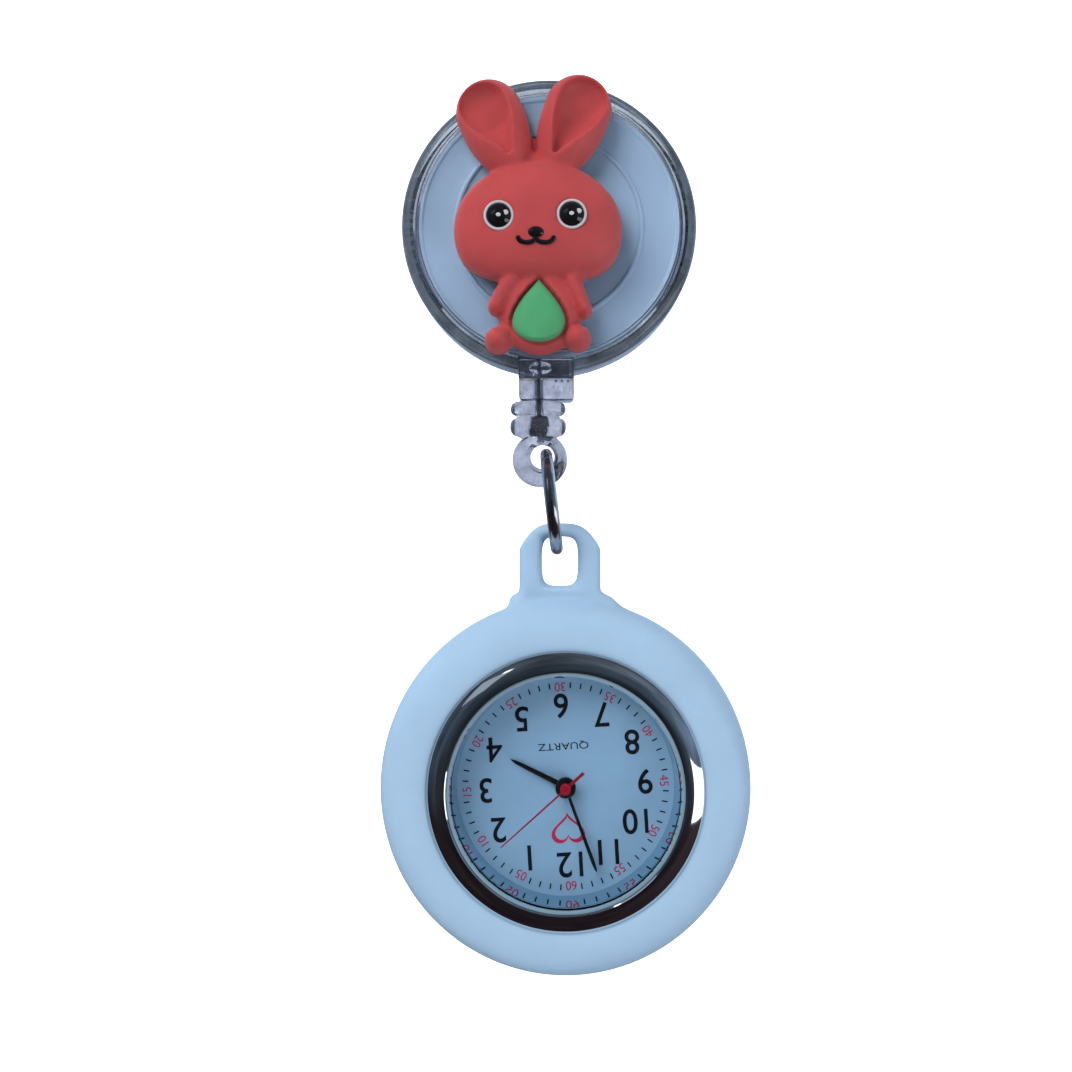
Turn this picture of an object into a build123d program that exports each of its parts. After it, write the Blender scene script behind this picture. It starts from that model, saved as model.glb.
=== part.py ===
from build123d import *
import math
import os

os.makedirs("parts", exist_ok=True)

# Fob watch hanging from a garment clip. Millimetres, +Z up, the face towards -Y, +X to the viewer's
# right. The origin is where the clip's jaws close on the garment.

# ---- driving dimensions ----

hang_y = -7.5            # the plane in which the reel, cord, ring and watch hang

reel_x, reel_z = 0.0, 10.0
reel_radius = 16.25
reel_front_y, reel_back_y = -11.9, -3.2
reel_joint_y = -6.6      # where the front and rear covers meet
cover_wall = 1.2
spool_radius = reel_radius - cover_wall - 0.45
spool_bore = 1.55
spool_post_radius = 1.5
spring_room_radius = 8.4
winding_inner, winding_outer = 9.25, 10.75

cord_x = -1.15
cord_radius = 0.3
nozzle_x, nozzle_width, nozzle_depth = -0.3, 6.3, 5.0
nozzle_top_z, nozzle_bottom_z = reel_z - 14.6, reel_z - 19.0
nozzle_neck_top_z = nozzle_top_z + 1.0
cord_turn_z = nozzle_neck_top_z + 0.2    # where the cord turns down into the nozzle

link_x, link_width, link_depth = -1.25, 6.3, 4.6
link_top_z = nozzle_bottom_z
link_collar_z = link_top_z - 1.8
link_waist_z = link_collar_z - 2.4
knot_radius = 0.95
eyelet_x, eyelet_z = -0.75, reel_z - 25.3
eyelet_radius, eyelet_hole_radius, eyelet_depth = 3.1, 1.3, 3.6

ring_x, ring_z = 0.25, reel_z - 30.3
ring_radius, ring_wire_radius = 5.3, 0.7
ring_lean = 6.5          # degrees off the vertical, seen from the front

watch_x, watch_z = 1.82, reel_z - 61.65
dial_heading = 176.7     # where 12 points, in degrees clockwise from straight up
cover_radius, cover_front, cover_back = 20.45, 4.85, -5.0
lip_radius = 15.1
case_radius, case_bore = 16.4, 12.95
glass_radius, glass_front, glass_back = 12.5, 5.2, 4.2
dial_front, dial_back, dial_radius = 1.2, 0.8, 12.7
plate_radius, plate_front, plate_back = 10.6, 0.0, -0.6
bridge_front, bridge_back = -2.0, -2.25
case_back_radius, case_back_front, case_back_outer = 14.65, -3.35, -4.0

tab_x, tab_top_z, tab_width, tab_depth = 1.2, reel_z - 32.9, 9.0, 3.2
tab_hole_width, tab_hole_top, tab_hole_bottom = 3.8, reel_z - 34.4, reel_z - 39.6

second_heading, minute_heading, hour_heading = 51.6, 342.8, 119.6
crown_level, crown_heading, crown_travel = -1.2, 90.0, 0.6
pivot_radius, pivot_hole_radius = 0.10, 0.13

# ---- wheels: teeth, module and the distance between their arbors ----

centre_teeth, third_pinion_teeth = 64, 8
third_teeth, second_pinion_teeth = 60, 8
second_teeth, intermediate_pinion_teeth = 40, 8
intermediate_teeth, rotor_pinion_teeth = 36, 6
cannon_teeth, minute_teeth = 12, 36
minute_pinion_teeth, hour_teeth = 10, 40

centre_module = 0.075
third_distance = centre_module * (centre_teeth + third_pinion_teeth) / 2
third_module = 2 * third_distance / (third_teeth + second_pinion_teeth)
second_module = 0.12
intermediate_distance = second_module * (second_teeth + intermediate_pinion_teeth) / 2
rotor_module = 0.08
rotor_distance = rotor_module * (intermediate_teeth + rotor_pinion_teeth) / 2
cannon_module = 0.09
minute_distance = cannon_module * (cannon_teeth + minute_teeth) / 2
hour_module = 2 * minute_distance / (minute_pinion_teeth + hour_teeth)


# ---- shapes used by many pieces ----

def save(node, shape):
    shape.label = node
    export_step(shape, f"parts/{node}.step")


def rod_y(radius, y_from, y_to, x=0.0, z=0.0):
    """A round bar along Y."""
    turned = Rot(90, 0, 0) * Cylinder(radius, abs(y_to - y_from))
    return Pos(x, (y_from + y_to) / 2, z) * turned


def tube_y(outer, inner, y_from, y_to, x=0.0, z=0.0):
    reach = 0.5
    low, high = min(y_from, y_to) - reach, max(y_from, y_to) + reach
    return rod_y(outer, y_from, y_to, x, z) - rod_y(inner, low, high, x, z)


def turned_y(points, x=0.0, z=0.0, rounds=()):
    """A closed outline of (radius, y) points turned about a Y axis. rounds: (point number, radius)."""
    face = make_face(Polyline(*points, close=True))
    for number, radius in rounds:
        corner = face.vertices().sort_by_distance(Vector(*points[number], 0))[0]
        face = fillet(corner, radius)
    return Pos(x, 0, z) * revolve(face, Axis.Y, 360)


def block(size_x, size_y, size_z, x, y, z):
    """A box with its centre at x, y, z."""
    return Pos(x, y, z) * Box(size_x, size_y, size_z)


def plate_y(sketch, y_from, y_to, x=0.0, z=0.0):
    """A flat outline, drawn with its X to the right and its Y up, given a thickness along Y."""
    upright = Plane(origin=(x, max(y_from, y_to), z), x_dir=(1, 0, 0), z_dir=(0, -1, 0))
    return extrude(upright * sketch, abs(y_to - y_from))


# ---- the watch's own directions ----

def at_level(level):
    """The y of a level in the watch, counted towards the face from its mid plane."""
    return hang_y - level


def heading_point(heading, distance):
    """x and z at a distance from the dial's centre; headings run clockwise from 12 on the dial."""
    angle = math.radians(dial_heading + heading)
    return watch_x + distance * math.sin(angle), watch_z + distance * math.cos(angle)


def along(heading, shape):
    """Turns a shape drawn at the origin, pointing up, to a heading, and sets it on the dial's centre."""
    return Pos(watch_x, 0, watch_z) * Rot(0, dial_heading + heading, 0) * shape


def watch_turned(points, rounds=()):
    return turned_y([(radius, at_level(level)) for radius, level in points], watch_x, watch_z, rounds)


def watch_disc(radius, back, front, heading=0.0, distance=0.0):
    x, z = heading_point(heading, distance)
    return rod_y(radius, at_level(back), at_level(front), x, z)


def gear(teeth, module, back, front, heading=0.0, distance=0.0, turn=0.0):
    """A spur wheel with straight-sided teeth."""
    root, tip = module * (teeth / 2 - 1.0), module * (teeth / 2 + 0.75)
    pitch = 2 * math.pi / teeth
    points = []
    for tooth in range(teeth):
        middle = tooth * pitch + math.radians(turn)
        for radius, share in ((root, -0.32), (tip, -0.12), (tip, 0.12), (root, 0.32)):
            angle = middle + share * pitch
            points.append((radius * math.cos(angle), radius * math.sin(angle)))
    x, z = heading_point(heading, distance)
    return plate_y(make_face(Polyline(*points, close=True)), at_level(back), at_level(front), x, z)


# ---- garment clip ----

clip_pin_y, clip_pin_z, clip_pin_radius = 0.6, 11.0, 0.75
clip_sheet = 0.6
clip_base_y = -2.2
clip_base_half, clip_lever_half = 4.4, 3.4
clip_top_z = 23.0
clip_washer_thickness = 0.4
rivet_radius, rivet_head_radius = 1.4, 2.6


def clip_outline(points, half_width):
    """A strip of sheet, bent along the points (y, z) and as wide as the clip."""
    face = make_face(Plane.YZ * Polyline(*points, close=True))
    strip = extrude(face, half_width, both=True)
    return strip


def make_clip():
    front, back = clip_base_y, clip_base_y - clip_sheet
    base = clip_outline(
        [(back, clip_top_z), (front, clip_top_z), (front, 1.6), (-0.06, 0.5), (-0.06, -0.4),
         (-0.5, -0.4), (back, 0.9)], clip_base_half)
    ear_face = make_face(Plane.YZ * Polyline(
        (front, 7.6), (1.6, 9.2), (1.9, 12.4), (front, 14.6), close=True))
    ears = Part()
    for side in (-1, 1):
        ear = extrude(ear_face, clip_sheet / 2, both=True)
        ears += Pos(side * (clip_base_half - clip_sheet / 2), 0, 0) * ear
    base += ears
    pin_hole = Pos(0, clip_pin_y, clip_pin_z) * Rot(0, 90, 0) * Cylinder(clip_pin_radius + 0.01, 12)
    rivet_hole = rod_y(rivet_radius + 0.05, back - 1, front + 1, reel_x, reel_z)
    save("clip_base_jaw", base - pin_hole - rivet_hole)

    lever = clip_outline(
        [(2.4, 7.5), (0.06, 0.5), (0.06, -0.4), (0.62, -0.4), (0.72, 0.4), (3.0, 7.3),
         (3.0, 12.6), (5.6, clip_top_z), (5.0, clip_top_z), (2.4, 12.8)], clip_lever_half)
    cheek_face = make_face(Plane.YZ * Polyline(
        (2.5, 8.2), (2.5, 12.9), (-0.4, 12.0), (-0.4, 9.8), close=True))
    for side in (-1, 1):
        cheek = extrude(cheek_face, clip_sheet / 2, both=True)
        lever += Pos(side * (clip_lever_half - clip_sheet / 2), 0, 0) * cheek
    running_hole = Pos(0, clip_pin_y, clip_pin_z) * Rot(0, 90, 0) * Cylinder(clip_pin_radius + 0.05, 12)
    save("clip_lever_jaw", lever - running_hole)

    pin_length = 2 * clip_base_half + 0.6
    pin = Pos(0, clip_pin_y, clip_pin_z) * Rot(0, 90, 0) * Cylinder(clip_pin_radius, pin_length)
    save("clip_pivot_pin", pin)

    coil_radius, coil_wire = 1.15, 0.3
    spring = Part()
    for turn in range(-3, 4):
        spring += Pos(turn * 2 * coil_wire, clip_pin_y, clip_pin_z) * Rot(0, 90, 0) * Torus(coil_radius, coil_wire)
    leg_top = clip_pin_y - coil_radius
    leg = Pos(0, (leg_top + clip_base_y) / 2 + 0.15, clip_pin_z + 2.0) * Rot(24, 0, 0) * Cylinder(0.26, 3.6)
    save("clip_spring", spring + leg)

    washer_y = reel_back_y + clip_washer_thickness
    save("swivel_washer", tube_y(3.4, rivet_radius + 0.05, reel_back_y, washer_y, reel_x, reel_z))
    rivet = rod_y(rivet_radius, reel_back_y + 0.02, clip_base_y, reel_x, reel_z)
    rivet += rod_y(rivet_head_radius, clip_base_y, clip_base_y + 0.7, reel_x, reel_z)
    rivet += rod_y(1.0, reel_back_y - 1.0, reel_back_y + 0.1, reel_x, reel_z)
    rivet += rod_y(1.9, reel_back_y - 1.5, reel_back_y - 0.9, reel_x, reel_z)
    save("swivel_rivet", rivet)


# ---- retractable reel ----

post_front_y = reel_front_y + cover_wall + 0.05


def nozzle_neck():
    height = 3.0
    return block(4.6, 3.4, height, nozzle_x, hang_y, nozzle_neck_top_z - height / 2)


def make_reel():
    r = reel_radius
    front = turned_y(
        [(0, reel_front_y), (r, reel_front_y), (r, reel_joint_y), (r - cover_wall, reel_joint_y),
         (r - cover_wall, reel_front_y + 1.0), (0, reel_front_y + 1.0)], reel_x, reel_z, [(1, 0.9)])
    save("reel_front_cover", front - nozzle_neck())

    back_plate_y = reel_back_y - 1.2
    inner = r - cover_wall
    rear = turned_y(
        [(0, reel_back_y), (r - 0.3, reel_back_y), (r - 0.3, reel_joint_y), (inner - 0.02, reel_joint_y),
         (inner - 0.02, reel_joint_y - 0.9), (inner - 0.75, reel_joint_y - 0.9),
         (inner - 0.75, back_plate_y), (3.0, back_plate_y), (3.0, -5.4), (spool_post_radius, -5.4),
         (spool_post_radius, post_front_y), (0, post_front_y)], reel_x, reel_z, [(1, 0.8)])
    rear -= rod_y(1.0, reel_back_y - 1.02, reel_back_y + 0.5, reel_x, reel_z)
    rear -= rod_y(1.92, reel_back_y - 1.52, reel_back_y - 0.88, reel_x, reel_z)
    save("reel_rear_cover", rear - nozzle_neck())

    middle_z = (nozzle_top_z - 0.9 + nozzle_bottom_z) / 2
    body = block(nozzle_width, nozzle_depth, nozzle_top_z - 0.9 - nozzle_bottom_z,
                 nozzle_x, hang_y, middle_z)
    body = chamfer(body.edges().filter_by(Axis.Z), 0.7)
    body = chamfer(body.faces().sort_by(Axis.Z)[0].edges(), 0.5)
    body -= rod_y(r + 0.02, reel_front_y - 1, reel_back_y + 1, reel_x, reel_z)
    for rib in range(4):
        rib_x = nozzle_x - 1.8 + 1.2 * rib
        if abs(rib_x - cord_x) > 0.3:
            body -= block(0.3, 0.4, 2.0, rib_x, hang_y - nozzle_depth / 2, nozzle_bottom_z + 1.6)
    neck = nozzle_neck() & rod_y(r + 0.1, reel_front_y, reel_back_y, reel_x, reel_z)
    hole = Pos(cord_x, hang_y, middle_z) * Cylinder(0.8, 12)
    save("nozzle", body + neck - hole)

    spool_front, spool_rear = reel_front_y + 1.5, -5.6
    wall = spring_room_radius + 0.8
    save("spool", turned_y(
        [(spool_bore, spool_front), (spool_radius, spool_front), (spool_radius, spool_front + 0.6),
         (wall, spool_front + 0.6), (wall, spool_rear), (13.6, spool_rear), (13.6, spool_rear + 0.5),
         (spring_room_radius, spool_rear + 0.5), (spring_room_radius, spool_front + 0.8),
         (3.0, spool_front + 0.8), (3.0, spool_front + 1.6), (spool_bore, spool_front + 1.6)],
        reel_x, reel_z) + tube_y(10.45, 10.05, spool_front - 0.25, spool_front + 0.1, reel_x, reel_z))
    save("cord_winding", turned_y(
        [(winding_inner, spool_front + 0.65), (winding_outer, spool_front + 0.65),
         (winding_outer, spool_rear - 0.05), (winding_inner, spool_rear - 0.05)],
        reel_x, reel_z, [(1, 0.6), (2, 0.6)]))

    coil_turns, inner_coil, outer_coil, strip = 7, spool_post_radius + 0.02, 8.0, 0.16
    steps_per_turn = 24
    outer_edge, inner_edge = [], []
    for step in range(coil_turns * steps_per_turn + 1):
        share = step / (coil_turns * steps_per_turn)
        radius, angle = inner_coil + share * (outer_coil - inner_coil), 2 * math.pi * coil_turns * share
        outer_edge.append(((radius + strip) * math.cos(angle), (radius + strip) * math.sin(angle)))
        inner_edge.append((radius * math.cos(angle), radius * math.sin(angle)))
    coil = Polyline(*outer_edge, *reversed(inner_edge), close=True)
    save("return_spring", plate_y(make_face(coil), -5.65, -8.4, reel_x, reel_z))

    drop = reel_z - cord_turn_z
    reach = math.hypot(drop, cord_x - reel_x)
    leaving_radius = winding_outer + cord_radius + 0.1
    touch_angle = math.atan2(-drop, cord_x - reel_x) + math.acos(leaving_radius / reach)
    start = Vector(reel_x + leaving_radius * math.cos(touch_angle), hang_y,
                   reel_z + leaving_radius * math.sin(touch_angle))
    feed = cord_run(start, Vector(cord_x, hang_y, cord_turn_z))
    save("cord_feed", feed - block(4, 4, 4, cord_x, hang_y, cord_turn_z - 1.95))


def cord_run(start, end):
    """A straight run of cord."""
    section = Plane(origin=start, z_dir=end - start) * Circle(cord_radius)
    return sweep(section, Line(start, end))


# ---- rabbit charm ----

charm_back_y = reel_front_y
charm_x = reel_x - 1.2
head_z, head_half_width, head_half_height, head_depth = reel_z + 0.7, 8.5, 6.0, 3.9
body_z, body_half_width, body_half_height, body_depth = reel_z - 8.8, 4.3, 5.0, 2.8
eye_spread, eye_z, eye_radius, pupil_radius = 3.75, reel_z + 1.1, 1.6, 1.3


def pad(sketch, depth, edge, x, z, turn=0.0):
    """A flat-backed pad on the reel's face with its front edge rounded."""
    solid = plate_y(sketch, 0.0, -depth)
    rim = solid.faces().sort_by(Axis.Y)[0].edges()
    return Pos(x, charm_back_y, z) * Rot(0, turn, 0) * fillet(rim, edge)


def make_charm():
    head = pad(Ellipse(head_half_width, head_half_height), head_depth, 2.2, charm_x, head_z)
    left_ear = pad(Ellipse(2.7, 6.2), 2.9, 1.0, charm_x - 4.9, reel_z + 9.6, -20)
    right_ear = pad(Ellipse(2.7, 6.2), 2.9, 1.0, charm_x + 4.0, reel_z + 9.9, 16)
    body = pad(Ellipse(body_half_width, body_half_height), body_depth, 1.4, charm_x, body_z)
    left_arm = pad(Ellipse(1.5, 2.9), 2.5, 0.6, charm_x - 4.0, reel_z - 6.3, 28)
    right_arm = pad(Ellipse(1.5, 2.9), 2.5, 0.6, charm_x + 4.0, reel_z - 6.0, -34)
    left_foot = pad(Ellipse(1.7, 1.45), 3.3, 1.0, charm_x - 3.9, reel_z - 12.1)
    right_foot = pad(Ellipse(1.7, 1.45), 3.3, 1.0, charm_x + 4.0, reel_z - 12.0)
    moulding = head + left_ear + right_ear + body + left_arm + right_arm + left_foot + right_foot
    inlay_depth = 0.7
    drop_outline = make_face([
        CenterArc((0, -1.1), 2.2, 160, 220),
        Line((2.2 * math.cos(math.radians(20)), -1.1 + 2.2 * math.sin(math.radians(20))), (0, 3.2)),
        Line((0, 3.2), (2.2 * math.cos(math.radians(160)), -1.1 + 2.2 * math.sin(math.radians(160))))])
    inlay_back = charm_back_y - body_depth + 0.3
    inlay = plate_y(drop_outline, inlay_back, inlay_back - inlay_depth, charm_x, body_z + 0.2)
    save("rabbit_moulding", moulding - inlay)
    save("tummy_inlay", inlay)

    face_y = charm_back_y - head_depth
    rings, pupils = Part(), Part()
    for side in (-1, 1):
        x = charm_x + side * eye_spread
        rings += tube_y(eye_radius, pupil_radius, face_y, face_y - 0.3, x, eye_z)
        pupils += rod_y(pupil_radius, face_y, face_y - 0.45, x, eye_z)
    save("eye_rings", rings)
    save("eye_pupils", pupils)
    nose = plate_y(Ellipse(0.75, 0.5), face_y, face_y - 0.4, charm_x, reel_z - 0.3)
    for side in (-1, 1):
        smile = make_face(Polyline((0, 0), (0.25, -0.35), (0.9, -0.6), (1.7, -0.3), (1.6, -0.1),
                                   (0.95, -0.35), (0.35, -0.15), (0.1, 0.3), close=True))
        if side < 0:
            smile = mirror(smile, Plane.YZ)
        nose += plate_y(smile, face_y, face_y - 0.25, charm_x, reel_z - 1.1)
    save("nose_and_mouth", nose)


# ---- cord, end link and ring ----

def make_link():
    knot_z = link_collar_z - 1.15
    lead_end_z = knot_z + knot_radius
    save("cord_lead", Pos(cord_x, hang_y, (cord_turn_z + lead_end_z) / 2)
         * Cylinder(cord_radius, cord_turn_z - lead_end_z))
    knot = Pos(cord_x, hang_y - 0.4, knot_z) * Sphere(knot_radius)
    save("cord_knot", knot - block(4, 4, 1, cord_x, hang_y, knot_z + knot_radius + 0.45))

    upper = block(link_width, link_depth, link_top_z - link_collar_z - 0.1, link_x, hang_y,
                  (link_top_z + link_collar_z) / 2 - 0.05)
    upper = fillet(upper.edges().filter_by(Axis.Z), 0.8)
    lower = block(link_width - 0.1, link_depth, link_collar_z - link_waist_z - 0.2, link_x + 0.03, hang_y,
                  (link_collar_z + link_waist_z) / 2)
    lower = fillet(lower.edges(), 0.6)
    core = block(link_width - 0.8, link_depth - 0.8, link_top_z - eyelet_z - 2.0, link_x, hang_y,
                 (link_top_z + eyelet_z + 2.0) / 2 - 0.05)
    eye = rod_y(eyelet_radius, hang_y + eyelet_depth / 2, hang_y - eyelet_depth / 2, eyelet_x - 0.3, eyelet_z - 0.3)
    eye = chamfer(eye.edges().filter_by(GeomType.CIRCLE), 0.7)
    shell = upper + lower + core + eye
    shell -= rod_y(eyelet_hole_radius, hang_y + 4, hang_y - 4, eyelet_x, eyelet_z)
    shell -= Pos(cord_x, hang_y, link_collar_z) * Cylinder(0.6, 5.0)
    shell -= Pos(cord_x, hang_y - 0.4, knot_z) * Sphere(knot_radius + 0.05)
    shell -= block(1.9, 3.0, 1.9, cord_x, hang_y - 1.9, knot_z)
    save("end_link", shell)

    ring = Pos(ring_x, hang_y, ring_z) * Rot(0, -ring_lean, 0) * Rot(0, 90, 0) * Torus(ring_radius, ring_wire_radius)
    save("link_ring", ring)


# ---- watch ----

def make_cover():
    inner = case_radius + 0.05
    bowl = watch_turned(
        [(inner, 3.35), (lip_radius, 4.18), (lip_radius, cover_front), (cover_radius, cover_front),
         (cover_radius, cover_back), (13.8, cover_back), (13.8, case_back_outer - 0.02),
         (inner, case_back_outer - 0.02)],
        [(2, 0.3), (3, 4.2), (4, 4.2)])
    neck_z = watch_z + 18.4
    side = tab_width / 2
    round_z = tab_top_z - side
    outline = make_face([
        CenterArc((tab_x, round_z), side, 0, 180),
        Line((tab_x - side, round_z), (tab_x - side, neck_z + 2.6)),
        Line((tab_x - side, neck_z + 2.6), (tab_x - side - 2.4, neck_z)),
        Line((tab_x - side - 2.4, neck_z), (tab_x + side + 2.4, neck_z)),
        Line((tab_x + side + 2.4, neck_z), (tab_x + side, neck_z + 2.6)),
        Line((tab_x + side, neck_z + 2.6), (tab_x + side, round_z))])
    tab = plate_y(outline, hang_y + tab_depth / 2, hang_y - tab_depth / 2)
    hole_middle = (tab_hole_top + tab_hole_bottom) / 2
    slot = RectangleRounded(tab_hole_width, tab_hole_top - tab_hole_bottom, 1.5)
    tab -= plate_y(slot, hang_y + 3, hang_y - 3, tab_x, hole_middle)
    cover = bowl + (tab - watch_disc(19.0, -6, 6))
    pocket = Pos(0, at_level(crown_level), (inner - 0.5 + 19.2) / 2) * Cylinder(2.15, 19.2 - inner + 0.5)
    save("silicone_cover", cover - along(crown_heading, pocket))


def make_case():
    stem_hole = Pos(0, at_level(crown_level), 14.5) * Cylinder(0.5, 8)
    case = watch_turned(
        [(case_bore, 3.95), (12.35, 3.95), (12.35, glass_back), (12.87, glass_back), (12.87, 5.35),
         (13.2, 5.4), (15.1, 4.1), (case_radius, 3.3), (case_radius, -3.6), (case_radius - 0.4, case_back_outer),
         (case_back_radius + 0.02, case_back_outer), (case_back_radius + 0.02, -3.1), (case_bore, -3.1)],
        [(5, 0.25)])
    save("watch_case", case - along(crown_heading, stem_hole))
    save("crystal", watch_turned(
        [(0, glass_back), (glass_radius, glass_back), (glass_radius, glass_front - 0.15),
         (glass_radius - 0.15, glass_front), (0, glass_front)]))
    save("crystal_gasket", watch_turned(
        [(glass_radius + 0.01, glass_back), (12.86, glass_back), (12.86, 5.1), (glass_radius + 0.01, 5.1)]))
    save("flange_ring", watch_turned(
        [(12.33, 3.93), (12.93, 3.93), (12.93, dial_front + 0.01), (11.95, dial_front + 0.01)]))
    save("dial", watch_disc(dial_radius, dial_back, dial_front) - watch_disc(0.9, 0, 2))
    save("case_back", watch_turned(
        [(0, case_back_outer), (case_back_radius, case_back_outer), (case_back_radius, -3.12),
         (14.2, -3.12), (14.2, case_back_front), (0, case_back_front)]))
    save("case_back_gasket", watch_turned(
        [(13.3, -3.12), (14.0, -3.12), (14.0, case_back_front + 0.01), (13.3, case_back_front + 0.01)]))


third_heading, intermediate_heading, minute_wheel_heading = 160.0, 325.0, 30.0
battery_heading, battery_distance, battery_radius = 250.0, 6.3, 3.4
pillar_places = ((55.0, 5.0), (291.0, 4.85), (200.0, 5.2))
pillar_radius, screw_radius, screw_head_radius = 0.55, 0.25, 0.6


def rotor_place():
    """Heading and distance of the rotor, one mesh away from the intermediate wheel."""
    turn = math.radians(25.0)
    ahead = intermediate_distance + rotor_distance * math.cos(turn)
    aside = rotor_distance * math.sin(turn)
    return intermediate_heading + math.degrees(math.atan2(aside, ahead)), math.hypot(ahead, aside)


def strap_post_places():
    """The two posts beside the battery, at equal distances along its tangent."""
    tangent = 4.3
    spread = math.degrees(math.atan2(tangent, battery_distance))
    distance = math.hypot(tangent, battery_distance)
    return [(battery_heading - spread, distance), (battery_heading + spread, distance)]


def make_movement():
    rotor_at = rotor_place()
    posts = strap_post_places()
    ring = watch_turned(
        [(plate_radius + 0.05, -2.6), (12.9, -2.6), (12.9, dial_back - 0.01), (plate_radius + 0.05, dial_back - 0.01)])
    stem_way = Pos(0, at_level(crown_level), 11.5) * Cylinder(0.7, 6)
    save("movement_ring", ring - along(crown_heading, stem_way))

    plate = watch_disc(plate_radius, plate_back, plate_front)
    for heading, distance in pillar_places:
        plate += watch_disc(pillar_radius, bridge_front, plate_front, heading, distance)
    for heading, distance in posts:
        plate += watch_disc(pillar_radius, -2.4, plate_front, heading, distance)
    plate -= watch_disc(battery_radius + 0.1, -1, 1, battery_heading, battery_distance)
    plate -= watch_disc(0.43, -1, 1)
    for heading, distance in ((third_heading, third_distance), (intermediate_heading, intermediate_distance), rotor_at):
        plate -= watch_disc(pivot_hole_radius, -1, 1, heading, distance)
    for heading, distance in pillar_places + tuple(posts):
        plate -= watch_disc(screw_radius, -3, -0.8, heading, distance)
    plate += watch_disc(0.3, plate_front - 0.1, 0.7, minute_wheel_heading, minute_distance)
    save("main_plate", plate)

    bridge = watch_disc(5.9, bridge_back, bridge_front)
    bridge -= watch_disc(battery_radius + 0.35, -3, -1, battery_heading, battery_distance)
    for heading, distance in ((0, 0), (third_heading, third_distance),
                              (intermediate_heading, intermediate_distance), rotor_at):
        bridge -= watch_disc(pivot_hole_radius, -3, -1, heading, distance)
    for heading, distance in pillar_places:
        bridge -= watch_disc(screw_radius + 0.05, -3, -1, heading, distance)
    save("train_bridge", bridge)

    strap = along(battery_heading, block(9.8, 0.15, 1.7, 0, at_level(-2.5), battery_distance))
    for heading, distance in posts:
        strap -= watch_disc(screw_radius + 0.05, -3, -2, heading, distance)
    save("battery_strap", strap)
    save("battery", watch_turned_at(
        [(0, -2.35), (battery_radius, -2.35), (battery_radius, -0.3), (battery_radius - 0.4, 0.25), (0, 0.25)],
        battery_heading, battery_distance))

    screws = Part()
    for places, head_level in ((pillar_places, bridge_back), (posts, -2.58)):
        for heading, distance in places:
            screw = watch_disc(screw_head_radius, head_level - 0.3, head_level, heading, distance)
            screw += watch_disc(screw_radius - 0.01, -0.9, head_level, heading, distance)
            screws += screw
    save("movement_screws", screws)

    stator_x, stator_z = heading_point(*rotor_at)
    arm = along(rotor_at[0], block(3.0, 0.3, 4.3, 0, at_level(-1.6), rotor_at[1] + 0.75))
    bar = along(rotor_at[0], block(9.0, 0.3, 0.9, 0, at_level(-1.6), 7.35))
    stator = arm + bar - rod_y(0.95, at_level(-1), at_level(-3), stator_x, stator_z)
    stator -= watch_disc(0.75, -3, -1, intermediate_heading, intermediate_distance)
    stator -= watch_disc(pillar_radius + 0.1, -3, -1, *pillar_places[1])
    save("stator", stator)
    coil = along(rotor_at[0], Pos(0, at_level(-1.6), 8.75) * Rot(0, 90, 0) * Cylinder(0.9, 7.0))
    for side in (-1, 1):
        coil += along(rotor_at[0], block(0.5, 1.8, 1.8, side * 3.7, at_level(-1.6), 8.75))
    save("motor_coil", coil)

    board_outer, board_inner = plate_radius - 0.1, 6.3
    sector = make_face([
        Line((0, board_inner), (0, board_outer)),
        CenterArc((0, 0), board_outer, 90, -80),
        Line((board_outer * math.cos(math.radians(10)), board_outer * math.sin(math.radians(10))),
             (board_inner * math.cos(math.radians(10)), board_inner * math.sin(math.radians(10)))),
        CenterArc((0, 0), board_inner, 10, 80)])
    board_back, board_front = -2.45, -2.2
    board = plate_y(sector, at_level(board_back), at_level(board_front))
    save("circuit_board", along(104.0, board))
    can = Pos(0, at_level(board_front + 0.76), 8.6) * Rot(0, 90, 0) * Cylinder(0.75, 5.0)
    save("quartz_can", along(132.0, can))
    save("watch_chip", along(165.0, block(2.2, 0.7, 2.2, 0, at_level(board_front + 0.35), 8.5)))


def watch_turned_at(points, heading, distance):
    x, z = heading_point(heading, distance)
    return turned_y([(radius, at_level(level)) for radius, level in points], x, z)


def arbor(radius, back, front, heading=0.0, distance=0.0):
    """An arbor between the bridge and the plate with a fine pivot at each end."""
    body = watch_disc(radius, back, front, heading, distance)
    return body + watch_disc(pivot_radius, bridge_back + 0.05, plate_back + 0.3, heading, distance)


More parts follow.
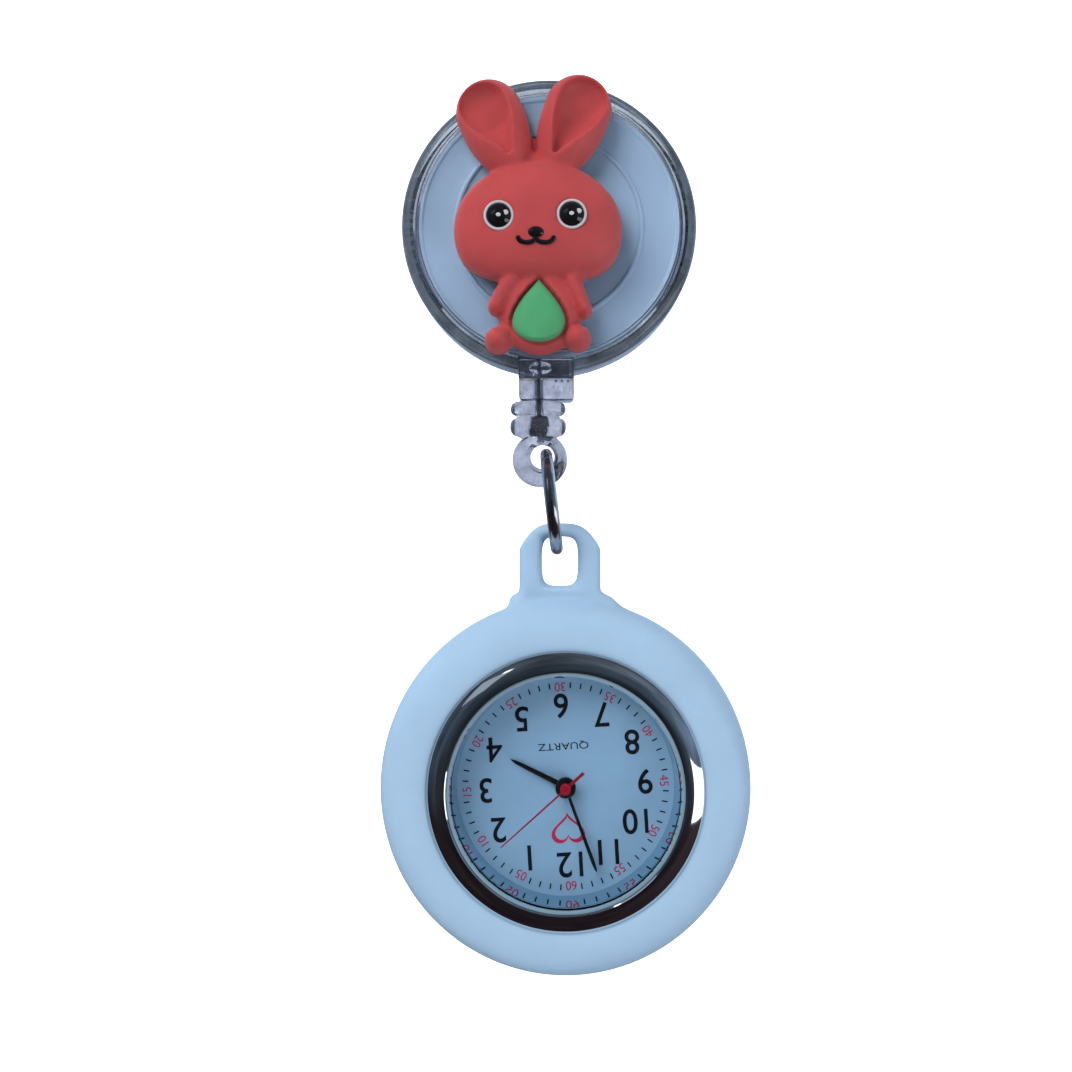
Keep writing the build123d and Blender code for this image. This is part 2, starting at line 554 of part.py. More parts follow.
def make_train():
    rotor_at = rotor_place()
    save("rotor", arbor(0.2, -1.9, -0.7, *rotor_at) + watch_disc(0.7, -1.85, -1.35, *rotor_at)
         + gear(rotor_pinion_teeth, rotor_module, -1.2, -1.0, *rotor_at))
    place = (intermediate_heading, intermediate_distance)
    save("intermediate_wheel", arbor(0.2, -1.9, -0.7, *place)
         + gear(intermediate_teeth, rotor_module, -1.17, -1.03, *place)
         + gear(intermediate_pinion_teeth, second_module, -1.85, -1.6, *place))
    place = (third_heading, third_distance)
    save("third_wheel", arbor(0.15, -1.9, -0.66, *place)
         + gear(third_teeth, third_module, -1.45, -1.33, *place)
         + gear(third_pinion_teeth, centre_module, -0.88, -0.67, *place))
    save("second_wheel", watch_disc(0.14, -1.95, 2.9) + watch_disc(pivot_radius, bridge_back + 0.05, -1.9)
         + gear(second_teeth, second_module, -1.8, -1.65)
         + gear(second_pinion_teeth, third_module, -1.5, -1.28))
    centre = watch_disc(0.4, -0.95, 2.3) + gear(centre_teeth, centre_module, -0.85, -0.7)
    centre += gear(cannon_teeth, cannon_module, 0.08, 0.32)
    save("centre_wheel", centre - watch_disc(0.18, -2, 4))
    minute = gear(minute_teeth, cannon_module, 0.1, 0.25, minute_wheel_heading, minute_distance)
    minute += gear(minute_pinion_teeth, hour_module, 0.25, 0.66, minute_wheel_heading, minute_distance)
    save("minute_wheel", minute - watch_disc(0.33, -1, 2, minute_wheel_heading, minute_distance))
    hour = gear(hour_teeth, hour_module, 0.42, 0.6) + watch_disc(0.75, 0.42, 1.72)
    save("hour_wheel", hour - watch_disc(0.45, -1, 4))


def hand(length, base_width, tip_width, hub_radius, back, front, tail=0.0, tail_width=0.0):
    """A hand drawn pointing up, with a pointed tip, a round hub and sometimes a tail."""
    point = 1.2 * tip_width
    outline = make_face(Polyline(
        (-base_width / 2, 0), (-tip_width / 2, length - point), (0, length),
        (tip_width / 2, length - point), (base_width / 2, 0), close=True))
    blade = plate_y(outline, at_level(back), at_level(front))
    blade += rod_y(hub_radius, at_level(back), at_level(front))
    if tail:
        blade += block(tail_width, front - back, tail, 0, at_level((back + front) / 2), -tail / 2)
    return blade


def make_hands():
    hour = hand(6.7, 0.42, 0.48, 1.05, 1.55, 1.75) - rod_y(0.75, at_level(0), at_level(3))
    save("hour_hand", along(hour_heading, hour))
    minute = hand(9.7, 0.32, 0.4, 1.05, 2.1, 2.3) + rod_y(0.9, at_level(2.0), at_level(2.45))
    minute -= rod_y(0.4, at_level(0), at_level(3))
    save("minute_hand", along(minute_heading, minute))
    second = hand(9.5, 0.2, 0.14, 0.55, 2.75, 2.9, 2.65, 0.33) + rod_y(0.6, at_level(2.65), at_level(3.15))
    second -= rod_y(0.14, at_level(0), at_level(2.9))
    save("second_hand", along(second_heading, second))


def make_crown():
    grip_teeth, grip_radius, grip_depth = 30, 1.8, 0.12
    points = []
    for tooth in range(grip_teeth):
        for share, radius in ((0, grip_radius), (0.5, grip_radius), (0.6, grip_radius - grip_depth),
                              (0.9, grip_radius - grip_depth)):
            angle = 2 * math.pi * (tooth + share) / grip_teeth
            points.append((radius * math.cos(angle), radius * math.sin(angle)))
    crown_start, crown_length = case_radius + 0.15, 1.7
    grip = extrude(make_face(Polyline(*points, close=True)), crown_length)
    grip -= Pos(0, 0, 0.5) * Cylinder(0.45, 1.2)
    crown = Pos(0, at_level(crown_level), crown_start) * grip
    save("crown", along(crown_heading, crown))

    stem_end, groove = 6.6, 8.2
    stem = Cylinder(0.44, crown_start + 1.05 - stem_end)
    stem = Pos(0, 0, (crown_start + 1.05 + stem_end) / 2) * stem
    stem -= Pos(0, 0, groove) * (Cylinder(0.6, 0.5) - Cylinder(0.28, 0.5))
    save("winding_stem", along(crown_heading, Pos(0, at_level(crown_level), 0) * stem))

    lever = block(1.6, 0.22, 2.0, 1.0, at_level(-0.76), groove + 0.4)
    fork = block(1.5, 1.0, 0.3, 0.45, at_level(-1.15), groove)
    fork -= Pos(0, at_level(crown_level), groove) * Cylinder(0.32, 1)
    fork -= block(0.64, 1.0, 1, 0, at_level(crown_level - 0.5), groove)
    save("setting_lever", along(crown_heading, lever + fork))


make_clip()
make_reel()
make_charm()
make_link()
make_cover()
make_case()
make_movement()
make_train()
make_hands()
make_crown()
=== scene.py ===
import random
from math import acos, atan2, copysign, cos, hypot, pi, radians, sin, sqrt

import bmesh
import bpy
from mathutils import Matrix, Vector


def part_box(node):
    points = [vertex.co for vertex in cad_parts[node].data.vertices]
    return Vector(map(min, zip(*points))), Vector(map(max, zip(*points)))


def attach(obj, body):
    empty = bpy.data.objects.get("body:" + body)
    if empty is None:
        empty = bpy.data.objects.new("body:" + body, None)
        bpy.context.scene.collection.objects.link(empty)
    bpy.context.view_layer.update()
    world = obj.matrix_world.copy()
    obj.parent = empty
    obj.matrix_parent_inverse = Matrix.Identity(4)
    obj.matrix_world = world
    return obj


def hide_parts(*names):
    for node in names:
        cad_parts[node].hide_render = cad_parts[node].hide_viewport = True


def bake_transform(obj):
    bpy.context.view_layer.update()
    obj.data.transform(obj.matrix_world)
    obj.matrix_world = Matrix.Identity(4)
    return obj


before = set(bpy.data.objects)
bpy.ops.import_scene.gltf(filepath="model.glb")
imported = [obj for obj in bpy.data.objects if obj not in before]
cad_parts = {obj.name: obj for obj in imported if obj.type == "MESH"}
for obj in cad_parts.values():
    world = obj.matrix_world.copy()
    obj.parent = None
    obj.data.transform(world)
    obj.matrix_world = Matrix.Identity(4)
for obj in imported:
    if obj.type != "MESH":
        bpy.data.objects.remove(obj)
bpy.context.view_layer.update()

mm = 0.001


def middle(node):
    low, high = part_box(node)
    return (Vector(low) + Vector(high)) / 2


# where things are, read from the frame

dialMiddle = middle("dial")
reelMiddle = middle("reel_front_cover")
watchX, watchZ = dialMiddle.x, dialMiddle.z
reelX, reelZ = reelMiddle.x, reelMiddle.z
hangY = middle("link_ring").y
dialHeading = radians(176.7)   # where 12 points, clockwise from straight up


def levelY(level):
    # a level in the watch, in millimetres towards the face from its mid plane
    return hangY - level * mm


def headingPlace(heading, distance, level):
    angle = dialHeading + radians(heading)
    return Vector((watchX + distance * mm * sin(angle), levelY(level),
                   watchZ + distance * mm * cos(angle)))


def nodeSet(name):
    mat = bpy.data.materials.new(name)
    mat.use_nodes = True
    return mat, mat.node_tree, mat.node_tree.nodes["Principled BSDF"]


def addNode(tree, kind, values=(), sources=()):
    # a shader node with its fixed values and with what feeds it
    node = tree.nodes.new("ShaderNode" + kind)
    for socket, value in dict(values).items():
        node.inputs[socket].default_value = value
    for socket, source in dict(sources).items():
        tree.links.new(source, node.inputs[socket])
    return node


def objectNoise(tree, scale, detail=3.0, roughness=0.55, stretch=(1, 1, 1)):
    coords = addNode(tree, "TexCoord")
    mapping = addNode(tree, "Mapping", {"Scale": stretch}, {"Vector": coords.outputs["Object"]})
    return addNode(tree, "TexNoise", {"Scale": scale, "Detail": detail, "Roughness": roughness},
                   {"Vector": mapping.outputs["Vector"]}).outputs["Fac"]


def colourRamp(tree, source, stops):
    node = addNode(tree, "ValToRGB", {}, {"Fac": source})
    elements = node.color_ramp.elements
    while len(elements) < len(stops):
        elements.new(0.5)
    for element, (position, colour) in zip(elements, stops):
        element.position = position
        element.color = (*colour, 1)
    return node.outputs["Color"]


def addBump(tree, shader, source, strength, depth):
    bump = addNode(tree, "Bump", {"Strength": strength, "Distance": depth * mm}, {"Height": source})
    tree.links.new(bump.outputs["Normal"], shader.inputs["Normal"])


plainLook = dict(spread=0.06, patchScale=220, stretch=(1, 1, 1), roughness=0.5, roughSpread=0.05,
                 wearScale=900, bump=0.0, grainScale=4000, grainStretch=(1, 1, 1), bumpDepth=0.02, sockets={})


def finishMaterial(name, look):
    # colour mottling, roughness variation and a fine bump, each from its own noise
    look = {**plainLook, **look}
    mat, tree, shader = nodeSet(name)
    spread, rough, roughSpread = look["spread"], look["roughness"], look["roughSpread"]
    dark = [c * (1 - spread) for c in look["colour"]]
    pale = [min(1.0, c * (1 + spread)) for c in look["colour"]]
    patches = objectNoise(tree, look["patchScale"], 4.0, 0.6, look["stretch"])
    tree.links.new(colourRamp(tree, patches, ((0.32, dark), (0.68, pale))), shader.inputs["Base Color"])
    wear = objectNoise(tree, look["wearScale"], 5.0, 0.65)
    gloss = addNode(tree, "MapRange", {"To Min": max(0.0, rough - roughSpread),
                                       "To Max": rough + roughSpread}, {"Value": wear})
    tree.links.new(gloss.outputs["Result"], shader.inputs["Roughness"])
    if look["bump"] > 0:
        grain = objectNoise(tree, look["grainScale"], 2.0, 0.5, look["grainStretch"])
        addBump(tree, shader, grain, look["bump"], look["bumpDepth"])
    for socket, value in look["sockets"].items():
        shader.inputs[socket].default_value = value
    return mat


looks = {
    "blueSilicone": dict(colour=(0.36, 0.53, 0.72), spread=0.03, patchScale=160, roughness=0.42,
        roughSpread=0.06, bump=0.22, grainScale=5200, bumpDepth=0.012,
        sockets={"Subsurface Weight": 0.18, "Subsurface Scale": 0.0012, "Subsurface Radius": (0.6, 0.8, 1.0),
                 "Specular IOR Level": 0.42}),
    "polishedCase": dict(colour=(0.80, 0.82, 0.85), spread=0.015, roughness=0.055, roughSpread=0.02,
        bump=0.03, grainScale=2600, grainStretch=(1, 6, 1), bumpDepth=0.004, sockets={"Metallic": 1.0}),
    "mirrorFlange": dict(colour=(0.52, 0.66, 0.74), spread=0.01, roughness=0.03, roughSpread=0.012,
        sockets={"Metallic": 1.0}),
    "darkSteel": dict(colour=(0.46, 0.46, 0.49), spread=0.12, patchScale=1500, roughness=0.16,
        roughSpread=0.08, bump=0.10, grainScale=3000, bumpDepth=0.006, sockets={"Metallic": 1.0}),
    "clipNickel": dict(colour=(0.62, 0.62, 0.63), spread=0.05, roughness=0.20, roughSpread=0.07, bump=0.12,
        grainScale=1800, grainStretch=(1, 1, 9), bumpDepth=0.006, sockets={"Metallic": 1.0}),
    "springSteel": dict(colour=(0.42, 0.42, 0.44), spread=0.08, roughness=0.30, roughSpread=0.08, bump=0.10,
        grainScale=2500, sockets={"Metallic": 1.0}),
    "brushedSteel": dict(colour=(0.56, 0.56, 0.57), roughness=0.30, roughSpread=0.08, bump=0.25,
        grainScale=900, grainStretch=(1, 1, 22), bumpDepth=0.006, sockets={"Metallic": 1.0}),
    "plateBrass": dict(colour=(0.72, 0.56, 0.28), spread=0.05, roughness=0.33, roughSpread=0.08, bump=0.15,
        grainScale=2400, sockets={"Metallic": 1.0}),
    "coilCopper": dict(colour=(0.52, 0.20, 0.09), spread=0.10, roughness=0.34, roughSpread=0.08, bump=0.5,
        grainScale=2200, grainStretch=(5, 1, 0.2), sockets={"Metallic": 1.0}),
    "whitePlastic": dict(colour=(0.315, 0.41, 0.54), spread=0.02, roughness=0.33, bump=0.06,
        grainScale=3500, bumpDepth=0.006),
    "rearPlastic": dict(colour=(0.25, 0.31, 0.41), spread=0.03, roughness=0.30, roughSpread=0.06, bump=0.08,
        grainScale=3200, bumpDepth=0.006),
    "movementPlastic": dict(colour=(0.74, 0.74, 0.70), spread=0.03, roughness=0.42, roughSpread=0.06,
        bump=0.08, grainScale=3000),
    "paleGasket": dict(colour=(0.20, 0.31, 0.40), spread=0.03, roughness=0.35, bump=0.05, grainScale=3000),
    "blackRubber": dict(colour=(0.015, 0.015, 0.016), spread=0.2, roughness=0.6, bump=0.2, grainScale=3000),
    "blackResin": dict(colour=(0.012, 0.012, 0.013), spread=0.2, roughness=0.45, bump=0.15,
        grainScale=2500),
    "boardGreen": dict(colour=(0.02, 0.13, 0.06), spread=0.15, roughness=0.35, bump=0.1, grainScale=1800),
    "dialBlue": dict(colour=(0.165, 0.295, 0.45), spread=0.02, patchScale=120, roughness=0.62, bump=0.10,
        grainScale=9000, bumpDepth=0.004),
    "printBlack": dict(colour=(0.008, 0.008, 0.012), spread=0.2, roughness=0.6, bump=0.08, grainScale=6000,
        sockets={"Specular IOR Level": 0.03}),
    "printRed": dict(colour=(0.33, 0.022, 0.060), roughness=0.6, bump=0.08, grainScale=6000,
        sockets={"Specular IOR Level": 0.03}),
    "handBlack": dict(colour=(0.006, 0.006, 0.008), spread=0.2, roughness=0.35, bump=0.06, grainScale=5000,
        sockets={"Specular IOR Level": 0.08}),
    "handRed": dict(colour=(0.19, 0.008, 0.020), spread=0.1, roughness=0.35, bump=0.06, grainScale=5000,
        sockets={"Specular IOR Level": 0.08}),
    "charmRed": dict(colour=(0.455, 0.054, 0.058), patchScale=260, roughness=0.52, roughSpread=0.07,
        bump=0.30, grainScale=3800, bumpDepth=0.015,
        sockets={"Subsurface Weight": 0.16, "Subsurface Scale": 0.0009, "Sheen Weight": 0.12,
                 "Subsurface Radius": (1.0, 0.35, 0.25), "Sheen Tint": (1.0, 0.75, 0.75, 1.0)}),
    "charmGreen": dict(colour=(0.070, 0.34, 0.15), spread=0.07, roughness=0.40, bump=0.2, grainScale=3800,
        sockets={"Subsurface Weight": 0.10, "Subsurface Scale": 0.0006}),
    "charmWhite": dict(colour=(0.52, 0.50, 0.54), spread=0.04, roughness=0.25, bump=0.06, grainScale=3500,
        sockets={"Coat Weight": 0.5}),
    "charmBlack": dict(colour=(0.006, 0.006, 0.007), spread=0.2, roughness=0.08, roughSpread=0.03,
        bump=0.03, grainScale=2500, sockets={"Coat Weight": 0.6}),
    "blackCord": dict(colour=(0.010, 0.010, 0.012), spread=0.35, patchScale=3500, roughness=0.75, bump=0.9,
        grainScale=4200, grainStretch=(1, 1, 0.45), bumpDepth=0.05, sockets={"Sheen Weight": 0.3}),
    "clearPlastic": dict(colour=(0.86, 0.91, 0.97), spread=0.01, roughness=0.035, roughSpread=0.02,
        bump=0.05, grainScale=700, bumpDepth=0.01, sockets={"Transmission Weight": 1.0, "IOR": 1.49}),
    # the clear cover's rim as a darker grey-blue copy of the clear plastic with stretched light streaks: painted shade
    # and painted streaky highlights for what its thick clear wall refracts
    "reelRimPaintedShade": dict(colour=(0.165, 0.20, 0.25), spread=0.38, patchScale=380, stretch=(1, 0.15, 1),
        roughness=0.12, roughSpread=0.06, bump=0.25, grainScale=620, bumpDepth=0.03,
        sockets={"Transmission Weight": 0.55, "IOR": 1.49}),
    # clear plastic tinted dark grey-blue, with light and dark patches: painted shade and painted reflections for the
    # dark surroundings that the clear nozzle and link mirror
    "clearPlasticPaintedShade": dict(colour=(0.26, 0.29, 0.38), spread=0.45, patchScale=700, roughness=0.08, bump=0.35,
        grainScale=800, bumpDepth=0.05, sockets={"Transmission Weight": 0.86, "IOR": 1.49}),
    "crystalGlass": dict(colour=(0.97, 0.99, 1.0), spread=0.003, roughness=0.012, roughSpread=0.006,
        sockets={"Transmission Weight": 1.0, "IOR": 1.5, "Specular Tint": (0.2, 0.2, 0.2, 1.0)}),
}
materials = {name: finishMaterial(name, look) for name, look in looks.items()}


def speckleKnot():
    # black thread with a few pale fibres
    mat, tree, shader = nodeSet("knotThread")
    fibres = objectNoise(tree, 3800, 2.0, 0.7, (1, 1, 2.2))
    thread, fibre = (0.010, 0.010, 0.012), (0.55, 0.55, 0.60)
    tree.links.new(colourRamp(tree, fibres, ((0.60, thread), (0.68, fibre))), shader.inputs["Base Color"])
    shader.inputs["Roughness"].default_value = 0.7
    addBump(tree, shader, fibres, 0.8, 0.06)
    return mat


materials["knotThread"] = speckleKnot()
print("materials made")


def placeMesh(name, bm, smooth=True):
    mesh = bpy.data.meshes.new(name)
    bm.to_mesh(mesh)
    bm.free()
    for face in mesh.polygons:
        face.use_smooth = smooth
    placed = bpy.data.objects.new(name, mesh)
    bpy.context.scene.collection.objects.link(placed)
    return placed


def addPiece(name, bm, material, body, replaced=(), sharpAngle=40):
    piece = placeMesh(name, bm)
    piece.data.set_sharp_from_angle(angle=radians(sharpAngle))
    piece.data.materials.append(materials[material])
    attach(piece, body)
    if replaced:
        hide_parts(*replaced)
    return piece


def applyModifiers(piece):
    graph = bpy.context.evaluated_depsgraph_get()
    made = bpy.data.meshes.new_from_object(piece.evaluated_get(graph))
    piece.modifiers.clear()
    old = piece.data
    piece.data = made
    bpy.data.meshes.remove(old)


def carve(piece, bm, operation="DIFFERENCE", sharpAngle=50):
    tool = placeMesh("tool", bm, smooth=False)
    modifier = piece.modifiers.new("carve", "BOOLEAN")
    modifier.object = tool
    modifier.operation = operation
    modifier.solver = "EXACT"
    applyModifiers(piece)
    bpy.data.meshes.remove(tool.data)   # its object goes with it
    if sharpAngle:
        piece.data.set_sharp_from_angle(angle=radians(sharpAngle))


def faceOutwards(bm):
    bmesh.ops.recalc_face_normals(bm, faces=bm.faces)


def newVerts(made):
    return [item for item in made["geom"] if isinstance(item, bmesh.types.BMVert)]


def newFaces(made):
    return [item for item in made["geom"] if isinstance(item, bmesh.types.BMFace)]


def turn(bm, verts, angle, axis, centre=(0, 0, 0)):
    bmesh.ops.rotate(bm, verts=verts, cent=centre, matrix=Matrix.Rotation(angle, 3, axis))


def lathe(points, x, z, steps=192, closed=True):
    # points are (radius, y) in millimetres; turned about a Y axis through x, z
    bm = bmesh.new()
    verts = [bm.verts.new((x + radius * mm, y * mm, z)) for radius, y in points]
    edges = [bm.edges.new(pair) for pair in zip(verts, verts[1:])]
    if closed:
        edges.append(bm.edges.new((verts[-1], verts[0])))
    bmesh.ops.spin(bm, geom=verts + edges, cent=(x, 0, z), axis=(0, 1, 0), angle=2 * pi,
                   steps=steps, use_merge=True)
    bmesh.ops.remove_doubles(bm, verts=bm.verts, dist=1e-6)
    bmesh.ops.dissolve_degenerate(bm, edges=bm.edges, dist=1e-7)
    faceOutwards(bm)
    return bm


def watchLathe(points, steps=192, closed=True, x=watchX, z=watchZ):
    # points are (radius, level)
    return lathe([(radius, levelY(level) / mm) for radius, level in points], x, z, steps, closed)


def arcPoints(centre, radius, start, end, count):
    made = []
    for step in range(count + 1):
        angle = radians(start + (end - start) * step / count)
        made.append((centre[0] + radius * cos(angle), centre[1] + radius * sin(angle)))
    return made


def block(centre, size, rounding=0.0, segments=3):
    # a block with rounded edges, all in millimetres
    bm = bmesh.new()
    bmesh.ops.create_cube(bm, size=1)
    bmesh.ops.scale(bm, verts=bm.verts, vec=Vector(size) * mm)
    if rounding:
        bmesh.ops.bevel(bm, geom=bm.edges[:], offset=rounding * mm, segments=segments, profile=0.5,
                        affect="EDGES", material=-1)
    bmesh.ops.translate(bm, verts=bm.verts, vec=Vector(centre) * mm)
    return bm


def softenEdges(bm, width, segments=3, angle=30):
    sharp = [e for e in bm.edges if len(e.link_faces) == 2 and e.calc_face_angle() > radians(angle)]
    bmesh.ops.bevel(bm, geom=sharp, offset=width * mm, segments=segments, profile=0.5,
                    affect="EDGES", material=-1, clamp_overlap=True)


cameraSet = dict(place=(1.10, -137.5, -22.64), pitch=-1.98, widthsAway=1.079, shiftX=-0.0215, shiftY=-0.05)


def makeCamera(settings):
    data = bpy.data.cameras.new("camera")
    data.sensor_width = 36.0
    data.lens = settings["widthsAway"] * data.sensor_width
    data.shift_x = settings["shiftX"]
    data.shift_y = settings["shiftY"]
    data.clip_start = 0.005
    data.clip_end = 20.0
    camera = bpy.data.objects.new("camera", data)
    camera.location = Vector(settings["place"]) * mm
    camera.rotation_euler = (radians(90 - settings["pitch"]), 0, 0)
    bpy.context.scene.collection.objects.link(camera)
    bpy.context.scene.camera = camera


floorSet = dict(level=-0.80, wall=0.20, sweep=0.12, reach=1.6, colour=(0.93, 0.935, 0.94), glow=0.85)


def makeFloor(settings):
    # a pale floor, low enough for the cord pulled right out, that sweeps up into the wall behind
    bm = bmesh.new()
    level, wall, sweep, reach = (settings[key] for key in ("level", "wall", "sweep", "reach"))
    outline = [(-reach, level), *arcPoints((wall - sweep, level + sweep), sweep, -90, 0, 24), (wall, reach)]
    verts = [bm.verts.new((-reach, y, z)) for y, z in outline]
    edges = [bm.edges.new(pair) for pair in zip(verts, verts[1:])]
    made = bmesh.ops.extrude_edge_only(bm, edges=edges)
    bmesh.ops.translate(bm, verts=newVerts(made), vec=(2 * reach, 0, 0))
    bm.normal_update()
    bmesh.ops.reverse_faces(bm, faces=[face for face in bm.faces if face.normal.z < face.normal.y])
    floor = placeMesh("floor", bm)
    mat, tree, shader = nodeSet("paleFloor")
    shader.inputs["Base Color"].default_value = (*settings["colour"], 1)
    shader.inputs["Roughness"].default_value = 0.9
    shader.inputs["Emission Color"].default_value = (1, 1, 1, 1)
    shader.inputs["Emission Strength"].default_value = settings["glow"]
    outer = addNode(tree, "NewGeometry").outputs["Backfacing"]   # clear when looked at from outside
    clear = addNode(tree, "BsdfTransparent").outputs["BSDF"]
    sides = addNode(tree, "MixShader", {}, {"Fac": outer, 1: shader.outputs["BSDF"], 2: clear})
    tree.links.new(sides.outputs["Shader"], tree.nodes["Material Output"].inputs["Surface"])
    floor.data.materials.append(mat)
    floor.visible_glossy = False
    floor.visible_diffuse = False
    floor.visible_shadow = False   # the daylight comes from all round


def areaLight(name, place, target, size, power, colour):
    data = bpy.data.lights.new(name, "AREA")
    data.shape = "RECTANGLE"
    data.size, data.size_y = size
    data.energy = power
    data.color = colour
    light = bpy.data.objects.new(name, data)
    light.location = place
    light.rotation_euler = (Vector(target) - Vector(place)).to_track_quat("-Z", "Y").to_euler()
    light.visible_glossy = False
    bpy.context.scene.collection.objects.link(light)


def reflectionCard(name, place, target, size, colour):
    # seen only in glossy surfaces: it gives polished metal and clear plastic something to reflect
    bm = bmesh.new()
    bmesh.ops.create_grid(bm, x_segments=1, y_segments=1, size=0.5)
    bmesh.ops.scale(bm, verts=bm.verts, vec=(size[0], size[1], 1))
    card = placeMesh(name, bm)
    card.location = place
    card.rotation_euler = (Vector(target) - Vector(place)).to_track_quat("-Z", "Y").to_euler()
    mat, tree, shader = nodeSet(name)
    shader.inputs["Base Color"].default_value = (0, 0, 0, 1)
    shader.inputs["Roughness"].default_value = 1.0
    shader.inputs["Specular IOR Level"].default_value = 0.0
    shader.inputs["Emission Color"].default_value = (*colour, 1)
    shader.inputs["Emission Strength"].default_value = 1.0
    card.data.materials.append(mat)
    card.visible_camera = False
    card.visible_diffuse = False
    card.visible_shadow = False
    card.visible_transmission = False
    card.visible_volume_scatter = False


# positions run from down to up in room, and from in front to behind in depth
lightSet = dict(
    daylight=(0.93, 0.96, 1.0), daylightStrength=0.60, whiteStrength=1.1, sideways=(0.65, 1.7), depthLift=6.5,
    depth=((0.0, 0.03), (0.03, 0.05), (0.16, 0.15), (0.44, 0.154), (0.70, 1.0)),
    room=((0.0, (0.013, 0.008, 0.010)), (0.30, (0.020, 0.014, 0.017)), (0.44, (0.048, 0.062, 0.084)),
          (0.58, (0.075, 0.11, 0.155)), (0.80, (0.065, 0.082, 0.105)), (1.0, (0.050, 0.060, 0.075))),
    boxes=(("keySoftbox", (-0.36, -0.42, 0.42), (0.45, 0.45), 3.9, (1.0, 0.99, 0.97)),
           ("windowSoftbox", (0.40, -0.30, -0.33), (0.13, 0.13), 0.8, (0.97, 0.99, 1.0))),
    cards=(("windowCard", (0.40, -0.20, -0.15), (0.42, 0.16), (1.8, 1.85, 1.9)),
           ("upperLeftCard", (-0.24, -0.26, 0.17), (0.16, 0.12), (0.32, 0.38, 0.46))),
    reelCard=("reelCard", (-0.20, -0.30, 0.26), (0.04, 0.04), (1.9, 2.0, 2.1)))


def makeWorld(settings):
    # soft white daylight for the surfaces, and a dim room for polished metal to reflect
    world = bpy.data.worlds.new("room")
    world.use_nodes = True
    tree = world.node_tree
    daylight = tree.nodes["Background"]
    daylight.inputs["Color"].default_value = (*settings["daylight"], 1)
    daylight.inputs["Strength"].default_value = settings["daylightStrength"]
    paths = addNode(tree, "LightPath").outputs
    around = addNode(tree, "TexCoord").outputs["Generated"]
    across, through, up = addNode(tree, "SeparateXYZ", {}, {"Vector": around}).outputs

    def share(source, low=-1.0, high=1.0, least=0.0, most=1.0):
        values = {"From Min": low, "From Max": high, "To Min": least, "To Max": most}
        return addNode(tree, "MapRange", values, {"Value": source}).outputs["Result"]

    def product(first, second):
        node = addNode(tree, "Math", {}, {0: first, 1: second})
        node.operation = "MULTIPLY"
        return node.outputs["Value"]

    room = colourRamp(tree, share(up), settings["room"])
    # darkest straight in front of the glass, brighter behind the object
    behind = colourRamp(tree, share(through), [(at, (value,) * 3) for at, value in settings["depth"]])
    clutter = addNode(tree, "TexNoise", {"Scale": 3.2, "Detail": 4.0}, {"Vector": around}).outputs["Fac"]
    sideways = share(across, least=settings["sideways"][0], most=settings["sideways"][1])
    lift = addNode(tree, "Value")
    lift.outputs["Value"].default_value = settings["depthLift"]
    uneven = product(sideways, share(clutter, 0.3, 0.7, 0.5, 1.5))
    strength = product(product(uneven, behind), lift.outputs["Value"])
    dimRoom = addNode(tree, "Background", {}, {"Color": room, "Strength": strength})
    whiteRoom = addNode(tree, "Background", {"Strength": settings["whiteStrength"]})   # past the floor's edge
    mix = addNode(tree, "MixShader", {}, {"Fac": paths["Is Glossy Ray"], 1: daylight.outputs["Background"],
                                          2: dimRoom.outputs["Background"]})
    show = addNode(tree, "MixShader", {}, {"Fac": paths["Is Camera Ray"], 1: mix.outputs["Shader"],
                                           2: whiteRoom.outputs["Background"]})
    tree.links.new(show.outputs["Shader"], tree.nodes["World Output"].inputs["Surface"])
    bpy.context.scene.world = world


def makeLight(settings):
    bpy.context.scene.view_settings.view_transform = "Standard"
    makeWorld(settings)
    for name, place, size, power, colour in settings["boxes"]:
        areaLight(name, place, (0.001, -0.008, -0.02), size, power, colour)
    for name, place, size, colour in settings["cards"]:
        reflectionCard(name, place, (watchX, hangY, watchZ), size, colour)
    name, place, size, colour = settings["reelCard"]
    reflectionCard(name, place, (reelX, -0.012, reelZ), size, colour)


makeCamera(cameraSet)
makeFloor(floorSet)
makeLight(lightSet)
print("camera, floor and light made")


coverSet = dict(segments=80, tabColumns=3, tabHalf=4.6, holeHalf=1.95, tabLean=-0.62, shoulder=21.15,
                shoulderHalf=5.75, holeBottom=21.95, holeMiddle=24.7, holeTop=27.35, tabTop=29.0)


